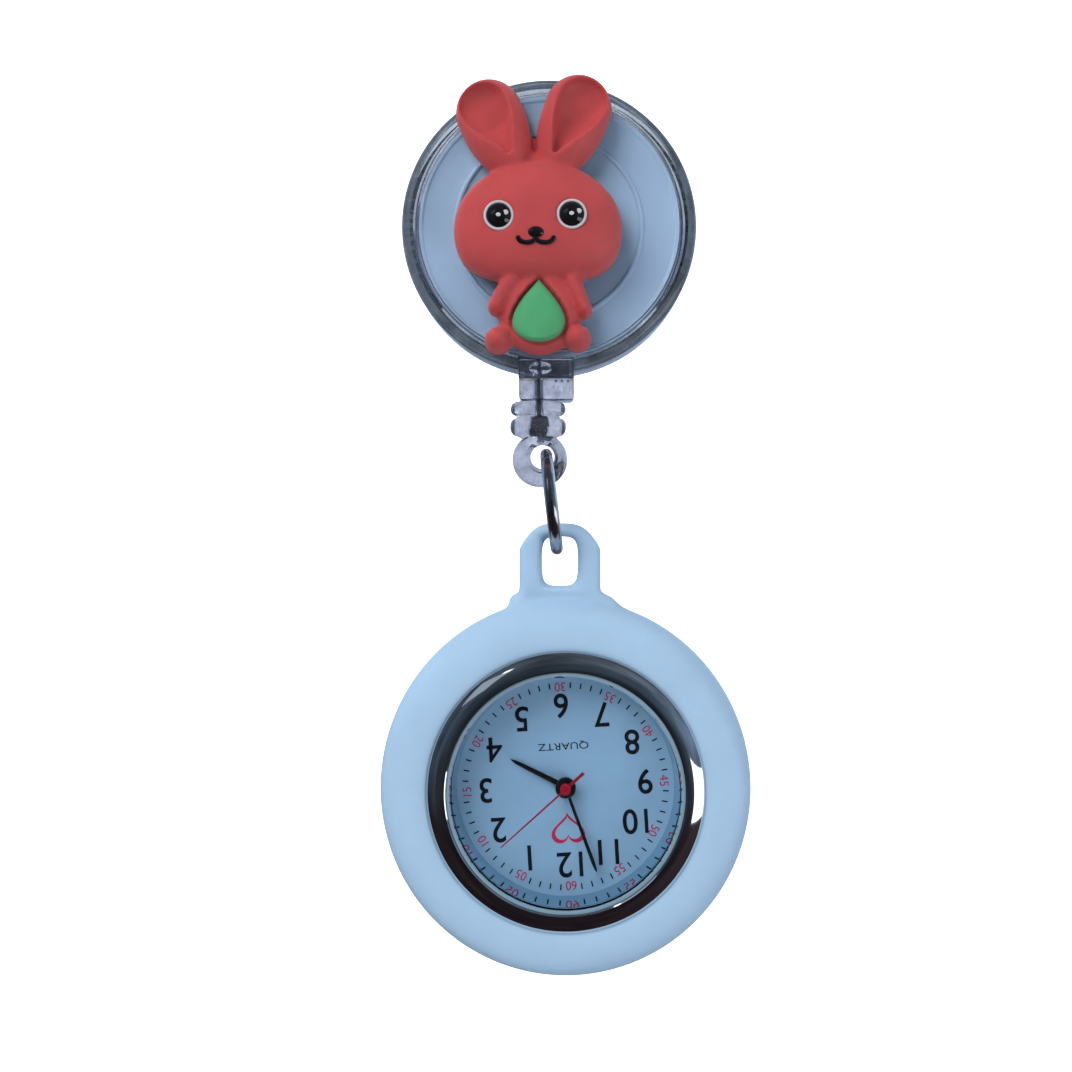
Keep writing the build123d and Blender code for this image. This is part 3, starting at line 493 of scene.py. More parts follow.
def makeCover(settings):
    outline = [(16.46, 3.3), (15.02, 4.12), (15.02, 4.55), (15.45, 4.88), (17.0, 4.92), (18.9, 4.55),
               (20.05, 3.25), (20.5, 1.6), (20.5, -1.6), (20.1, -3.5), (18.7, -4.9), (16.8, -5.0),
               (14.0, -5.0), (13.8, -4.85), (13.8, -4.1), (16.46, -4.1)]
    count = settings["segments"]
    bm = watchLathe(outline, count)
    step = 2 * pi / count
    faces = []
    for face in bm.faces:
        spot = face.calc_center_median()
        dx, dz = spot.x - watchX, spot.z - watchZ
        outer = hypot(dx, dz) > 20.2 * mm and abs(spot.y - hangY) < 1.0 * mm
        if outer and abs(atan2(dx, dz)) < (settings["tabColumns"] + 1) * step:
            faces.append(face)
    columns = [-settings["tabHalf"], -3.35, -settings["holeHalf"], 0.0, settings["holeHalf"], 3.35,
               settings["tabHalf"]]
    wide = [-settings["shoulderHalf"], *columns, settings["shoulderHalf"]]
    # each row: its height, its columns, and how far its outer two columns stay below it
    rows = [(settings["shoulder"], wide, (0.3, 0.0)), (settings["holeBottom"], columns, (0.0, 0.0)),
            (settings["holeMiddle"], columns, (0.0, 0.0)), (settings["holeTop"], columns, (1.65, 0.35)),
            (settings["tabTop"], columns, (2.85, 0.95))]
    for height, places, drops in rows:
        if len(places) == len(columns):
            halfTab = (settings["tabHalf"] + 0.3) * mm
            middleX = watchX + settings["tabLean"] * mm
            faces = [f for f in faces if abs(f.calc_center_median().x - middleX) < halfTab]
        made = bmesh.ops.extrude_face_region(bm, geom=faces)
        bmesh.ops.delete(bm, geom=faces, context="FACES_ONLY")
        faces = newFaces(made)
        verts = sorted({v for f in faces for v in f.verts}, key=lambda v: v.co.x)
        for number, v in enumerate(verts):
            column = number // 2
            inward = min(column, len(places) - 1 - column)
            v.co.x = watchX + (places[column] + settings["tabLean"]) * mm
            v.co.z = watchZ + (height - (drops[inward] if inward < 2 else 0)) * mm
    bm.normal_update()
    front, back = [], []
    for face in bm.faces:
        spot = face.calc_center_median()
        lifted = spot.z - watchZ
        inHole = abs(spot.x - watchX - settings["tabLean"] * mm) < settings["holeHalf"] * mm
        if inHole and settings["holeBottom"] * mm < lifted < settings["holeTop"] * mm:
            if face.normal.y < -0.9:
                front.append(face)
            elif face.normal.y > 0.9:
                back.append(face)
    rims = []
    for group in (front, back):
        rims += [e for f in group for e in f.edges if sum(g in group for g in e.link_faces) == 1]
    bmesh.ops.delete(bm, geom=front + back, context="FACES_ONLY")
    inside = [e for e in bm.edges if not e.link_faces]
    bmesh.ops.delete(bm, geom=inside, context="EDGES")
    loose = [v for v in bm.verts if not v.link_edges]
    bmesh.ops.delete(bm, geom=loose, context="VERTS")
    bmesh.ops.bridge_loops(bm, edges=[e for e in rims if e.is_valid])
    faceOutwards(bm)
    cover = addPiece("softCover", bm, "blueSilicone", "watch", ["silicone_cover"], 180)
    smooth = cover.modifiers.new("Subdivision", "SUBSURF")
    smooth.levels = smooth.render_levels = 2


makeCover(coverSet)
print("soft cover made")


def makeCase():
    bezel = arcPoints((12.9, 2.18), 3.2, 35, 88, 14)
    outline = [(14.68, -4.0), (16.0, -4.0), (16.38, -3.6), (16.38, 3.2), (15.9, 3.75), *bezel,
               (12.90, 5.30), (12.88, 4.2), (12.35, 4.2), (12.35, 3.95), (12.96, 3.95), (12.96, -3.1),
               (14.68, -3.1)]
    bm = watchLathe(outline, 256)
    addPiece("caseAndBezel", bm, "polishedCase", "watch", ["watch_case"], 25)
    glass = watchLathe([(0, 4.2), (12.5, 4.2), (12.5, 5.05), (12.36, 5.2), (0, 5.2)], 192)
    crystal = addPiece("crystalGlass", glass, "crystalGlass", "watch", ["crystal"], 20)
    crystal.visible_shadow = False   # lets the hands' soft shadows through
    flange = watchLathe([(12.33, 3.93), (12.93, 3.93), (12.93, 1.22), (11.95, 1.22)], 256)
    addPiece("flangeMirror", flange, "mirrorFlange", "watch", ["flange_ring"], 20)


makeCase()
print("case made")


# millimetres: radii from the dial's centre, and the height of each print
dialPrint = dict(level=1.2, rise=0.03, tickIn=10.72, tickOut=11.36, tickWidth=0.15,
                 numeralRadius=8.78, numeralHeight=2.73, boldness=0.011, redRadius=10.86, redHeight=0.98,
                 wordRadius=4.42, wordHeight=0.92, wordWidth=5.55, heartRadius=4.55, heartWidth=3.7,
                 heartLine=0.42, twoDigitsIn=0.18)


def textMesh(text, height, bold=0.0, wide=1.0):
    # a word or number as a thin solid facing the viewer, centred on the origin
    curve = bpy.data.curves.new("lettering", "FONT")
    curve.body = text
    curve.align_x = "CENTER"
    curve.size = 1.0
    curve.extrude = 0.01
    holder = bpy.data.objects.new("lettering", curve)
    bpy.context.scene.collection.objects.link(holder)
    graph = bpy.context.evaluated_depsgraph_get()
    mesh = bpy.data.meshes.new_from_object(holder.evaluated_get(graph))
    bpy.data.objects.remove(holder)
    bm = bmesh.new()
    bm.from_mesh(mesh)
    bpy.data.meshes.remove(mesh)
    bmesh.ops.remove_doubles(bm, verts=bm.verts, dist=1e-5)
    bm.normal_update()
    shifts = {}
    for v in bm.verts:
        walls = [f.normal for f in v.link_faces if abs(f.normal.z) < 0.5]
        outward = sum(walls, Vector((0, 0, 0)))
        shifts[v] = outward.normalized() * bold if outward.length > 1e-6 else Vector((0, 0, 0))
    for v, shift in shifts.items():
        v.co += shift
    xs = [v.co.x for v in bm.verts]
    ys = [v.co.y for v in bm.verts]
    centre = Vector(((min(xs) + max(xs)) / 2, (min(ys) + max(ys)) / 2, 0))
    factor = height * mm / (max(ys) - min(ys))
    bmesh.ops.translate(bm, verts=bm.verts, vec=-centre)
    bmesh.ops.scale(bm, verts=bm.verts, vec=(factor * wide, factor, dialPrint["rise"] * mm / 0.02))
    turn(bm, bm.verts, pi / 2, "X")
    return bm


def joinInto(target, source, place=(0, 0, 0), angle=0.0):
    turn(source, source.verts, angle, "Y")
    bmesh.ops.translate(source, verts=source.verts, vec=place)
    holder = bpy.data.meshes.new("holder")
    source.to_mesh(holder)
    source.free()
    target.from_mesh(holder)
    bpy.data.meshes.remove(holder)


def printTicks(settings):
    bm = bmesh.new()
    length = settings["tickOut"] - settings["tickIn"]
    for minute in range(60):
        if minute % 5 == 0:
            continue
        tick = bmesh.new()
        bmesh.ops.create_cube(tick, size=1)
        bmesh.ops.scale(tick, verts=tick.verts,
                        vec=(settings["tickWidth"] * mm, settings["rise"] * mm, length * mm))
        place = headingPlace(minute * 6, (settings["tickIn"] + settings["tickOut"]) / 2, settings["level"])
        joinInto(bm, tick, place, dialHeading + radians(minute * 6))
    addPiece("minuteTicks", bm, "printBlack", "watch")


def printNumerals(settings):
    bm = bmesh.new()
    for hour in range(1, 13):
        radius = settings["numeralRadius"] - (settings["twoDigitsIn"] if hour > 9 else 0.0)
        place = headingPlace(hour * 30, radius, settings["level"])
        number = textMesh(str(hour), settings["numeralHeight"], settings["boldness"], 0.94)
        joinInto(bm, number, place, dialHeading)
    addPiece("hourNumerals", bm, "printBlack", "watch", sharpAngle=30)
    bm = bmesh.new()
    for number in range(5, 65, 5):
        heading = number * 6
        outward = number >= 45 or number <= 15
        angle = dialHeading + radians(heading) + (0 if outward else pi)
        place = headingPlace(heading, settings["redRadius"], settings["level"])
        joinInto(bm, textMesh(f"{number:02d}", settings["redHeight"], 0.0, 0.92), place, angle)
    addPiece("minuteNumbers", bm, "printRed", "watch", sharpAngle=30)
    bm = bmesh.new()
    word = textMesh("QUARTZ", settings["wordHeight"])
    xs = [v.co.x for v in word.verts]
    bmesh.ops.scale(word, verts=word.verts, vec=(settings["wordWidth"] * mm / (max(xs) - min(xs)), 1, 1))
    joinInto(bm, word, headingPlace(180, settings["wordRadius"], settings["level"]), dialHeading)
    addPiece("movementWord", bm, "printBlack", "watch", sharpAngle=30)


def printHeart(settings):
    # a plain outlined heart, drawn with its point down as the dial is read
    bm = bmesh.new()
    count, factor = 64, settings["heartWidth"] * mm / 32
    shrink = 1 - 2 * settings["heartLine"] / settings["heartWidth"]
    outer = []
    for step in range(count):
        t = 2 * pi * step / count
        z = 13 * cos(t) - 5 * cos(2 * t) - 2 * cos(3 * t) - cos(4 * t)
        outer.append(Vector((16 * sin(t) ** 3, 0, z + 2.5)) * factor)
    outerVerts = [bm.verts.new(p) for p in outer]
    innerVerts = [bm.verts.new(p * shrink) for p in outer]
    for step in range(count):
        after = (step + 1) % count
        bm.faces.new((outerVerts[step], outerVerts[after], innerVerts[after], innerVerts[step]))
    faceOutwards(bm)
    if bm.faces[:][0].normal.y > 0:
        bmesh.ops.reverse_faces(bm, faces=bm.faces)
    made = bmesh.ops.extrude_face_region(bm, geom=list(bm.faces))
    bmesh.ops.translate(bm, verts=newVerts(made), vec=(0, -settings["rise"] * mm / 2, 0))
    faceOutwards(bm)
    holder = bmesh.new()
    joinInto(holder, bm, headingPlace(0, settings["heartRadius"], settings["level"]), dialHeading)
    addPiece("heartEmblem", holder, "printRed", "watch")


printTicks(dialPrint)
printNumerals(dialPrint)
printHeart(dialPrint)
print("dial printed")


reelSet = dict(radius=16.25, wall=1.2, frontY=-11.9, jointY=-6.6, shadedRimInside=14.95, slot=(6.2, 7.0, 3.0),
               slotY=-9.3)


def makeReel(settings):
    r, wall, front, joint = settings["radius"], settings["wall"], settings["frontY"], settings["jointY"]
    corner = arcPoints((r - 1.0, front + 1.0), 1.0, -90, 0, 8)
    outline = [(0, front), (r - 2.1, front), (r - 1.95, front + 0.12), (r - 1.8, front + 0.02), *corner,
               (r, joint), (r - wall, joint), (r - wall - 0.05, front + 1.25), (r - wall - 0.3, front + 1.0),
               (0, front + 1.0)]
    bm = lathe(outline, reelX, reelZ)
    cover = addPiece("reelClearCover", bm, "clearPlastic", "reel", ["reel_front_cover"], 25)
    low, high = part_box("nozzle")
    slot = block(((low[0] + high[0]) / 2 / mm, settings["slotY"], high[2] / mm - 1.6), settings["slot"])
    carve(cover, slot, sharpAngle=None)
    # the rim faces get the darker, streaked copy: painted shade and painted highlights on a cover that is clear all
    # over
    cover.data.materials.append(materials["reelRimPaintedShade"])
    for face in cover.data.polygons:
        if hypot(face.center.x - reelX, face.center.z - reelZ) > settings["shadedRimInside"] * mm:
            face.material_index = 1
    cover.visible_shadow = False

    # the spool's pale front, its two raised rings and its rear flange
    face = front + 1.5
    outline = [(1.56, face), (2.2, face), (9.95, face), (10.1, face - 0.22), (10.4, face - 0.22), (10.55, face),
               (13.9, face), (14.1, face - 0.15), (14.5, face - 0.15), (14.6, face), (14.6, face + 0.6),
               (9.2, face + 0.6), (9.2, -5.62), (13.6, -5.62), (13.6, -5.1), (8.4, -5.1), (8.4, face + 0.8),
               (1.56, face + 0.8)]
    bm = lathe(outline, reelX, reelZ, 160)
    softenEdges(bm, 0.06, 2, 35)
    addPiece("reelSpool", bm, "whitePlastic", "spool", ["spool"], 35)


makeReel(reelSet)
print("reel made")


# millimetres from the reel's axis, across and up
charmSet = dict(
    voxel=0.22, backY=-11.9, head=(-1.2, -0.05), headSize=(9.2, 4.45, 6.65), headSag=0.75, headRound=0.68,
    eyes=((-5.3, -0.1), (2.45, 0.05)), eyeSeat=(1.62, 3.92), eyeRing=(1.46, 0.15), eyeDome=1.9,
    nose=(-1.35, -1.95), noseSize=(0.85, 0.36, 0.6), mouth=(0.94, 0.55), lip=(0.27, 0.17, 0.27),
    neck=((-1.6, 6.2), (1.5, 1.3, 1.7)), tummy=((-1.0, -9.6), (4.65, 3.3, 4.85)),
    arms=(((-4.2, -6.6), (-5.8, -9.25)), ((2.5, -6.6), (3.85, -9.6))),
    feet=((-5.5, -12.9), (3.1, -12.7)), footSize=(1.55, 3.3, 1.5), dropX=-1.07, dropTop=-6.55, dropLow=-13.25,
    dropHalf=2.85, dropSeat=1.7, dropRise=2.15, scoopDepth=2.6,
    ears=(dict(base=(-3.8, 5.8), tip=(-6.55, 12.2), scoopFoot=(-4.35, 7.5), scoopTop=(-7.2, 12.5),
               scoopWidth=2.55),
          dict(base=(0.6, 5.9), tip=(3.2, 12.7), scoopFoot=(0.75, 7.6), scoopTop=(3.75, 13.0),
               scoopWidth=2.6)))


def blob(bm, place, size, segments=20, rings=14):
    # an ellipsoid: place and size in millimetres from the reel's axis and face
    verts = bmesh.ops.create_uvsphere(bm, u_segments=segments, v_segments=rings, radius=1.0)["verts"]
    bmesh.ops.scale(bm, verts=verts, vec=Vector(size) * mm)
    bmesh.ops.translate(bm, verts=verts, vec=(reelX + place[0] * mm, place[1] * mm, reelZ + place[2] * mm))


def bulge(across, up):
    # how far the head's outline stands past an ellipse in this direction: fuller towards the cheeks
    power = 2.12 if up > 0 else 2.12 + 0.5 * min(1.0, -up * 1.6)
    return (abs(across) ** power + abs(up) ** power) ** (-1 / power)


def makeCharm(settings):
    back = settings["backY"]
    headX, headZ = settings["head"]
    wide, deep, tall = settings["headSize"]
    bm = bmesh.new()
    for v in bmesh.ops.create_uvsphere(bm, u_segments=72, v_segments=48, radius=1.0)["verts"]:
        flat = hypot(v.co.x, v.co.z)
        if flat > 1e-6:
            fuller = bulge(v.co.x / flat, v.co.z / flat)
            v.co.x, v.co.z = v.co.x * fuller, v.co.z * fuller
        sag = settings["headSag"] * max(0.0, 1 - v.co.z ** 2)   # the widest place is below the middle
        out = copysign(abs(v.co.y) ** settings["headRound"], v.co.y)
        v.co = Vector((reelX + (headX + wide * v.co.x) * mm, (back + deep * out) * mm,
                       reelZ + (headZ + tall * v.co.z - sag) * mm))
    (x, z), size = settings["neck"]
    blob(bm, (x, back, z), size, 24, 16)
    (x, z), size = settings["tummy"]
    blob(bm, (x, back, z), size, 40, 28)
    for start, stop in settings["arms"]:
        for step in range(5):
            share = step / 4
            x, z = (start[i] + share * (stop[i] - start[i]) for i in (0, 1))
            blob(bm, (x, back - 0.6, z), (1.1 - 0.2 * share, 2.3, 1.15 - 0.15 * share))
    for x, z in settings["feet"]:
        blob(bm, (x, back - 0.2, z), settings["footSize"], 24, 16)
    for ear in settings["ears"]:
        for step in range(13):
            share = step / 12
            width = 1.65 + 2.05 * sin(pi / 2 * min(1.0, 1.2 * share))
            spot = Vector(ear["base"]).lerp(Vector(ear["tip"]), share)
            blob(bm, (spot.x, back, spot.y), (width, 1.9 + 1.4 * min(1.0, 1.6 * share), width), 28, 18)
    charm = addPiece("rabbitMoulding", bm, "charmRed", "reel", ["rabbit_moulding"], 180)
    merge = charm.modifiers.new("merge", "REMESH")
    merge.mode = "VOXEL"
    merge.voxel_size = settings["voxel"] * mm
    applyModifiers(charm)
    bm = bmesh.new()
    bm.from_mesh(charm.data)
    backPlane = back * mm
    bmesh.ops.bisect_plane(bm, geom=bm.verts[:] + bm.edges[:] + bm.faces[:], dist=1e-7,
                           plane_co=(0, backPlane, 0), plane_no=(0, 1, 0), clear_outer=True)
    for _ in range(2):
        smoothInside(bm)
    for v in bm.verts:
        x, z = (v.co.x - reelX) / mm, (v.co.z - reelZ) / mm
        scoop = max(earScoop(ear, x, z) for ear in settings["ears"])
        if scoop > 0:
            v.co.y = min(backPlane - 0.4 * mm, max(v.co.y, v.co.y + scoop * mm))
        if z < -6.0 and abs(x - settings["dropX"]) < dropHalfWidth(settings, z, 0.36):
            v.co.y = max(v.co.y, backPlane - settings["dropSeat"] * mm)
        for eyeX, eyeZ in settings["eyes"]:
            if hypot(x - eyeX, z - eyeZ) < settings["eyeSeat"][0]:
                v.co.y = max(v.co.y, backPlane - settings["eyeSeat"][1] * mm)
    for _ in range(2):
        smoothInside(bm)
    bmesh.ops.holes_fill(bm, edges=[e for e in bm.edges if e.is_boundary], sides=0)
    faceOutwards(bm)
    bm.to_mesh(charm.data)
    bm.free()
    for face in charm.data.polygons:
        face.use_smooth = True


def smoothInside(bm):
    bmesh.ops.smooth_vert(bm, verts=[v for v in bm.verts if not v.is_boundary], factor=0.5,
                          use_axis_x=True, use_axis_y=True, use_axis_z=True)


def earScoop(ear, x, z):
    # how deep the ear's hollow is at x, z: narrow at its foot, wide and round at its top
    start, stop = Vector(ear["scoopFoot"]), Vector(ear["scoopTop"])
    line = stop - start
    share = max(0.0, min(1.0, (Vector((x, z)) - start).dot(line) / line.length_squared))
    width = 0.35 + (ear["scoopWidth"] - 0.35) * sin(pi / 2 * share)
    away = (Vector((x, z)) - start.lerp(stop, share)).length / width
    return charmSet["scoopDepth"] * min(1.0, 0.45 + share) * (1 - away ** 2) ** 0.55 if away < 1 else 0.0


def dropHalfWidth(settings, z, margin=0.0):
    # half the width of the tummy's drop at a height, pointed above and round below
    top, low = settings["dropTop"] + margin, settings["dropLow"] - margin
    share = (top - z) / (top - low)
    if not 0 < share < 1:
        return 0.0
    angle = acos(1 - 2 * share)
    return (settings["dropHalf"] + margin) / 0.74 * sin(angle) * sin(angle / 2) ** 1.2


def surfaceDepth(settings, x, z):
    # the y of the head's face at x, z in millimetres from the reel's axis
    wide, deep, tall = settings["headSize"]
    across, up = (x - settings["head"][0]) / wide, 0.0
    for _ in range(4):
        up = (z - settings["head"][1] + settings["headSag"] * (1 - up ** 2)) / tall
    flat = max(1e-6, hypot(across, up))
    share = max(0.0, 1 - (flat / bulge(across / flat, up / flat)) ** 2)
    return settings["backY"] - deep * share ** (settings["headRound"] / 2)


def makeInlay(settings):
    bm = bmesh.new()
    top, tall = settings["dropTop"], settings["dropTop"] - settings["dropLow"]
    for v in bmesh.ops.create_uvsphere(bm, u_segments=48, v_segments=36, radius=1.0)["verts"]:
        # a sphere pulled into a drop: narrow at its top, round below
        z = top - min(0.999, max(0.001, (1 - v.co.z) / 2)) * tall
        ringWidth = sqrt(max(1e-9, 1 - v.co.z ** 2))
        half = dropHalfWidth(settings, z) if ringWidth > 1e-3 else 0.0
        x = settings["dropX"] + v.co.x / ringWidth * half
        y = settings["backY"] - settings["dropRise"] + v.co.y / ringWidth * min(1.2, half * 0.9)
        v.co = Vector((reelX + x * mm, y * mm, reelZ + z * mm))
    bmesh.ops.remove_doubles(bm, verts=bm.verts, dist=1e-6)
    faceOutwards(bm)
    addPiece("tummyDrop", bm, "charmGreen", "reel", ["tummy_inlay"], 180)


def makeFace(settings):
    rings, pupils, dark = bmesh.new(), bmesh.new(), bmesh.new()
    faceY, dome = settings["backY"] - 4.06, settings["eyeDome"]
    domeY = faceY + 1.35
    for eyeX, eyeZ in settings["eyes"]:
        x, z = reelX + eyeX * mm, reelZ + eyeZ * mm
        radius, thick = settings["eyeRing"]
        joinInto(rings, lathe(arcPoints((radius, faceY), thick, 0, 330, 11), x, z, 56))
        section = [(max(0.0, radius), y) for radius, y in arcPoints((0, domeY), dome, -90, -43.5, 10)]
        joinInto(pupils, lathe(section + [(0, faceY + 0.3)], x, z, 56))
        # two small white dots on each pupil: printed catchlights that also stand in for the glossy pupils'
        # reflections, a painted highlight
        for offX, offZ, size in ((-0.02, -0.06, 0.27), (0.72, 0.22, 0.34)):
            depth = domeY - sqrt(dome ** 2 - offX ** 2 - offZ ** 2)
            blob(rings, (eyeX + offX, depth, eyeZ + offZ), (size, 0.06, size * 0.8), 16, 10)
    addPiece("eyeRings", rings, "charmWhite", "reel", ["eye_rings"], 180)
    addPiece("eyePupils", pupils, "charmBlack", "reel", ["eye_pupils"], 50)
    noseX, noseZ = settings["nose"]
    wide, low = settings["mouth"]
    blob(dark, (noseX, surfaceDepth(settings, noseX, noseZ) + 0.02, noseZ), settings["noseSize"], 24, 14)
    for side in (-1, 1):
        for step in range(12):
            angle = radians(186 + 168 * step / 11)
            x, z = noseX + side * wide + wide * cos(angle), noseZ - low + low * sin(angle)
            blob(dark, (x, surfaceDepth(settings, x, z) - 0.02, z), settings["lip"], 12, 8)
    addPiece("noseAndMouth", dark, "charmBlack", "reel", ["nose_and_mouth"], 180)


makeCharm(charmSet)
makeInlay(charmSet)
makeFace(charmSet)
print("charm made")


def turned(outline, x, y, steps=96, flatten=1.0):
    # outline is (radius, z) in millimetres, spun about an upright axis through x, y
    bm = bmesh.new()
    verts = [bm.verts.new(((x + radius) * mm, y * mm, z * mm)) for radius, z in outline]
    edges = [bm.edges.new(pair) for pair in zip(verts, verts[1:])]
    bmesh.ops.spin(bm, geom=verts + edges, cent=(x * mm, y * mm, 0), axis=(0, 0, 1), angle=2 * pi,
                   steps=steps, use_merge=True)
    bmesh.ops.remove_doubles(bm, verts=bm.verts, dist=1e-6)
    bmesh.ops.scale(bm, verts=bm.verts, vec=(1, flatten, 1), space=Matrix.Translation((0, -y * mm, 0)))
    faceOutwards(bm)
    return bm


# millimetres, in the object's own frame
nozzleSet = dict(x=-0.3, width=6.2, depth=4.9, top=-6.35, bottom=-9.0, neckTop=-4.8, neckWidth=6.1,
                 neckFront=-11.75, neckBack=-5.9, dimple=(1.25, 1.1, 0.72))


def makeNozzle(settings):
    y, x = hangY / mm, settings["x"]
    height = settings["top"] - settings["bottom"]
    middleZ = (settings["top"] + settings["bottom"]) / 2
    body = block((x, y, middleZ), (settings["width"], settings["depth"], height), 0.5, 4)
    # the nozzle gets the dark-tinted clear plastic: painted shade and painted reflections
    nozzle = addPiece("cordNozzle", body, "clearPlasticPaintedShade", "reel", ["nozzle"], 50)
    neckHeight = settings["neckTop"] - settings["top"] + 0.6
    neckY = (settings["neckFront"] + settings["neckBack"]) / 2
    neck = block((x, neckY, settings["neckTop"] - neckHeight / 2),
                 (settings["neckWidth"], settings["neckBack"] - settings["neckFront"], neckHeight), 0.3, 3)
    carve(nozzle, neck, "UNION")
    front = y - settings["depth"] / 2
    dimple = bmesh.new()
    bmesh.ops.create_uvsphere(dimple, u_segments=40, v_segments=24, radius=1.0)
    bmesh.ops.scale(dimple, verts=dimple.verts, vec=Vector(settings["dimple"]) * mm)
    spot = Vector((x - 0.6, settings["neckFront"], settings["top"] + 0.55)) * mm
    bmesh.ops.translate(dimple, verts=dimple.verts, vec=spot)
    carve(nozzle, dimple)
    for step in range(3):
        carve(nozzle, block((x + 1.05 + 0.68 * step, front, middleZ + 0.05), (0.26, 0.8, 1.5), 0.06, 2))
    carve(nozzle, block((x, front, settings["bottom"] + 0.62), (settings["width"] + 1, 0.3, 0.16)))
    carve(nozzle, turned([(0, -3.0), (0.62, -3.0), (0.62, -9.6), (0, -9.6)], cordX, y, 40))


linkSet = dict(x=-1.25, flatten=0.74, eyeX=-1.05, eyeZ=-15.6, holeX=-0.75, holeZ=-15.3, eyeRadius=3.1)


def makeLink(settings):
    y = hangY / mm
    beads = [(0, -9.04), (2.1, -9.04), (2.62, -9.12), (2.98, -9.38), (3.12, -9.78), (3.1, -10.15),
             (2.92, -10.48), (2.55, -10.68), (2.36, -10.8), (2.55, -10.94), (2.92, -11.12), (3.13, -11.5),
             (3.16, -12.0), (3.05, -12.5), (2.75, -12.86), (2.2, -13.06), (1.75, -13.3), (1.6, -13.7),
             (1.6, -14.6), (0, -14.6)]
    # the end link gets the dark-tinted clear plastic: painted shade and painted reflections
    link = addPiece("endLink", turned(beads, settings["x"], y, 112, settings["flatten"]), "clearPlasticPaintedShade",
                    "end_link", ["end_link"], 60)
    r = settings["eyeRadius"]
    section = [(0, -1.8), (r - 1.1, -1.8), (r - 0.62, -1.66), (r - 0.25, -1.3), (r - 0.05, -0.7), (r, 0),
               (r - 0.05, 0.7), (r - 0.25, 1.3), (r - 0.62, 1.66), (r - 1.1, 1.8), (0, 1.8)]
    eye = lathe([(radius, y + across) for radius, across in section], settings["eyeX"] * mm,
                settings["eyeZ"] * mm, 112, closed=False)
    carve(link, eye, "UNION", 60)
    section = [(0, -2.3), (2.05, -2.3), (1.6, -1.5), (1.38, -0.8), (1.32, 0), (1.38, 0.8), (1.6, 1.5),
               (2.05, 2.3), (0, 2.3)]
    hole = lathe([(radius, y + across) for radius, across in section], settings["holeX"] * mm,
                 settings["holeZ"] * mm, 72, closed=False)
    carve(link, hole, "DIFFERENCE", 60)
    knot = middle("cord_knot") / mm
    carve(link, turned([(0, -8.5), (0.42, -8.5), (0.42, knot.z + 0.9), (0.8, knot.z + 0.66), (1.06, knot.z),
                        (0.8, knot.z - 0.66), (0.4, knot.z - 0.98), (0, knot.z - 1.04)], cordX, y, 48),
          "DIFFERENCE", 60)


cordX = middle("cord_lead").x / mm
makeNozzle(nozzleSet)
makeLink(linkSet)
print("nozzle and link made")


# lengths and half widths in millimetres; levels above the watch's mid plane
handSet = dict(
    hour=dict(heading=119.6, low=1.55, high=1.75, hub=1.05, hubHigh=1.82, colour="Black",
              shape=((-0.4, 0.3), (1.5, 0.27), (5.3, 0.22), (6.25, 0.15), (6.7, 0.03))),
    minute=dict(heading=342.8, low=2.1, high=2.3, hub=1.12, hubHigh=2.45, colour="Black",
                shape=((-0.4, 0.15), (1.5, 0.16), (8.6, 0.2), (9.35, 0.13), (9.7, 0.03))),
    second=dict(heading=51.6, low=2.75, high=2.9, hub=0.62, hubHigh=3.12, colour="Red",
                shape=((-2.65, 0.17), (-0.4, 0.16), (0.5, 0.1), (9.3, 0.065), (9.5, 0.03))))


def makeHand(name, hand):
    bm = bmesh.new()
    outline = [(-half, along) for along, half in hand["shape"]]
    outline += [(half, along) for along, half in reversed(hand["shape"])]
    level = levelY(hand["low"])
    face = bm.faces.new([bm.verts.new((across * mm, level, along * mm)) for across, along in outline])
    lifted = newVerts(bmesh.ops.extrude_face_region(bm, geom=[face]))
    bmesh.ops.translate(bm, verts=lifted, vec=(0, (hand["low"] - hand["high"]) * mm, 0))
    faceOutwards(bm)
    rim = [e for e in bm.edges if e.calc_face_angle(0) > 1.0 and all(v in lifted for v in e.verts)]
    bmesh.ops.bevel(bm, geom=rim, offset=0.05 * mm, segments=2, profile=0.5, affect="EDGES", material=-1,
                    clamp_overlap=True)
    low, high, r = hand["low"] - 0.05, hand["hubHigh"], hand["hub"]
    section = [(0.0, low), (r, low), (r, high - 0.1), (r - 0.04, high - 0.03), (r - 0.12, high),
               (0.36 * r, high), (0.33 * r, high - 0.05), (0.0, high - 0.05)]
    joinInto(bm, watchLathe(section, 56, closed=False, x=0, z=0))
    if name == "second":
        # a screwdriver mark across the hub
        joinInto(bm, block((0, levelY(high) / mm, 0), (0.95, 0.06, 0.14)))
    holder = bmesh.new()
    joinInto(holder, bm, (watchX, 0, watchZ), dialHeading + radians(hand["heading"]))
    colour = hand["colour"]
    addPiece(name + "Pointer", holder, "hand" + colour, name + "_train",
             [name + "_hand"], 35)


for name, hand in handSet.items():
    makeHand(name, hand)
print("hands made")


def roundedCopy(node, name, finish, body, width):
    # the part's own shape with its edges softened
    bm = bmesh.new()
    bm.from_mesh(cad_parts[node].data)
    bmesh.ops.remove_doubles(bm, verts=bm.verts, dist=2e-6)
    bmesh.ops.dissolve_limit(bm, angle_limit=radians(0.8), verts=bm.verts, edges=bm.edges)
    softenEdges(bm, width, 2, 28)
    return addPiece(name, bm, finish, body, [node], 14)


ringSet = dict(radius=5.3, wire=0.7, lean=-6.5, gap=1.2, gapAngle=200)   # the gap is where the ring closes


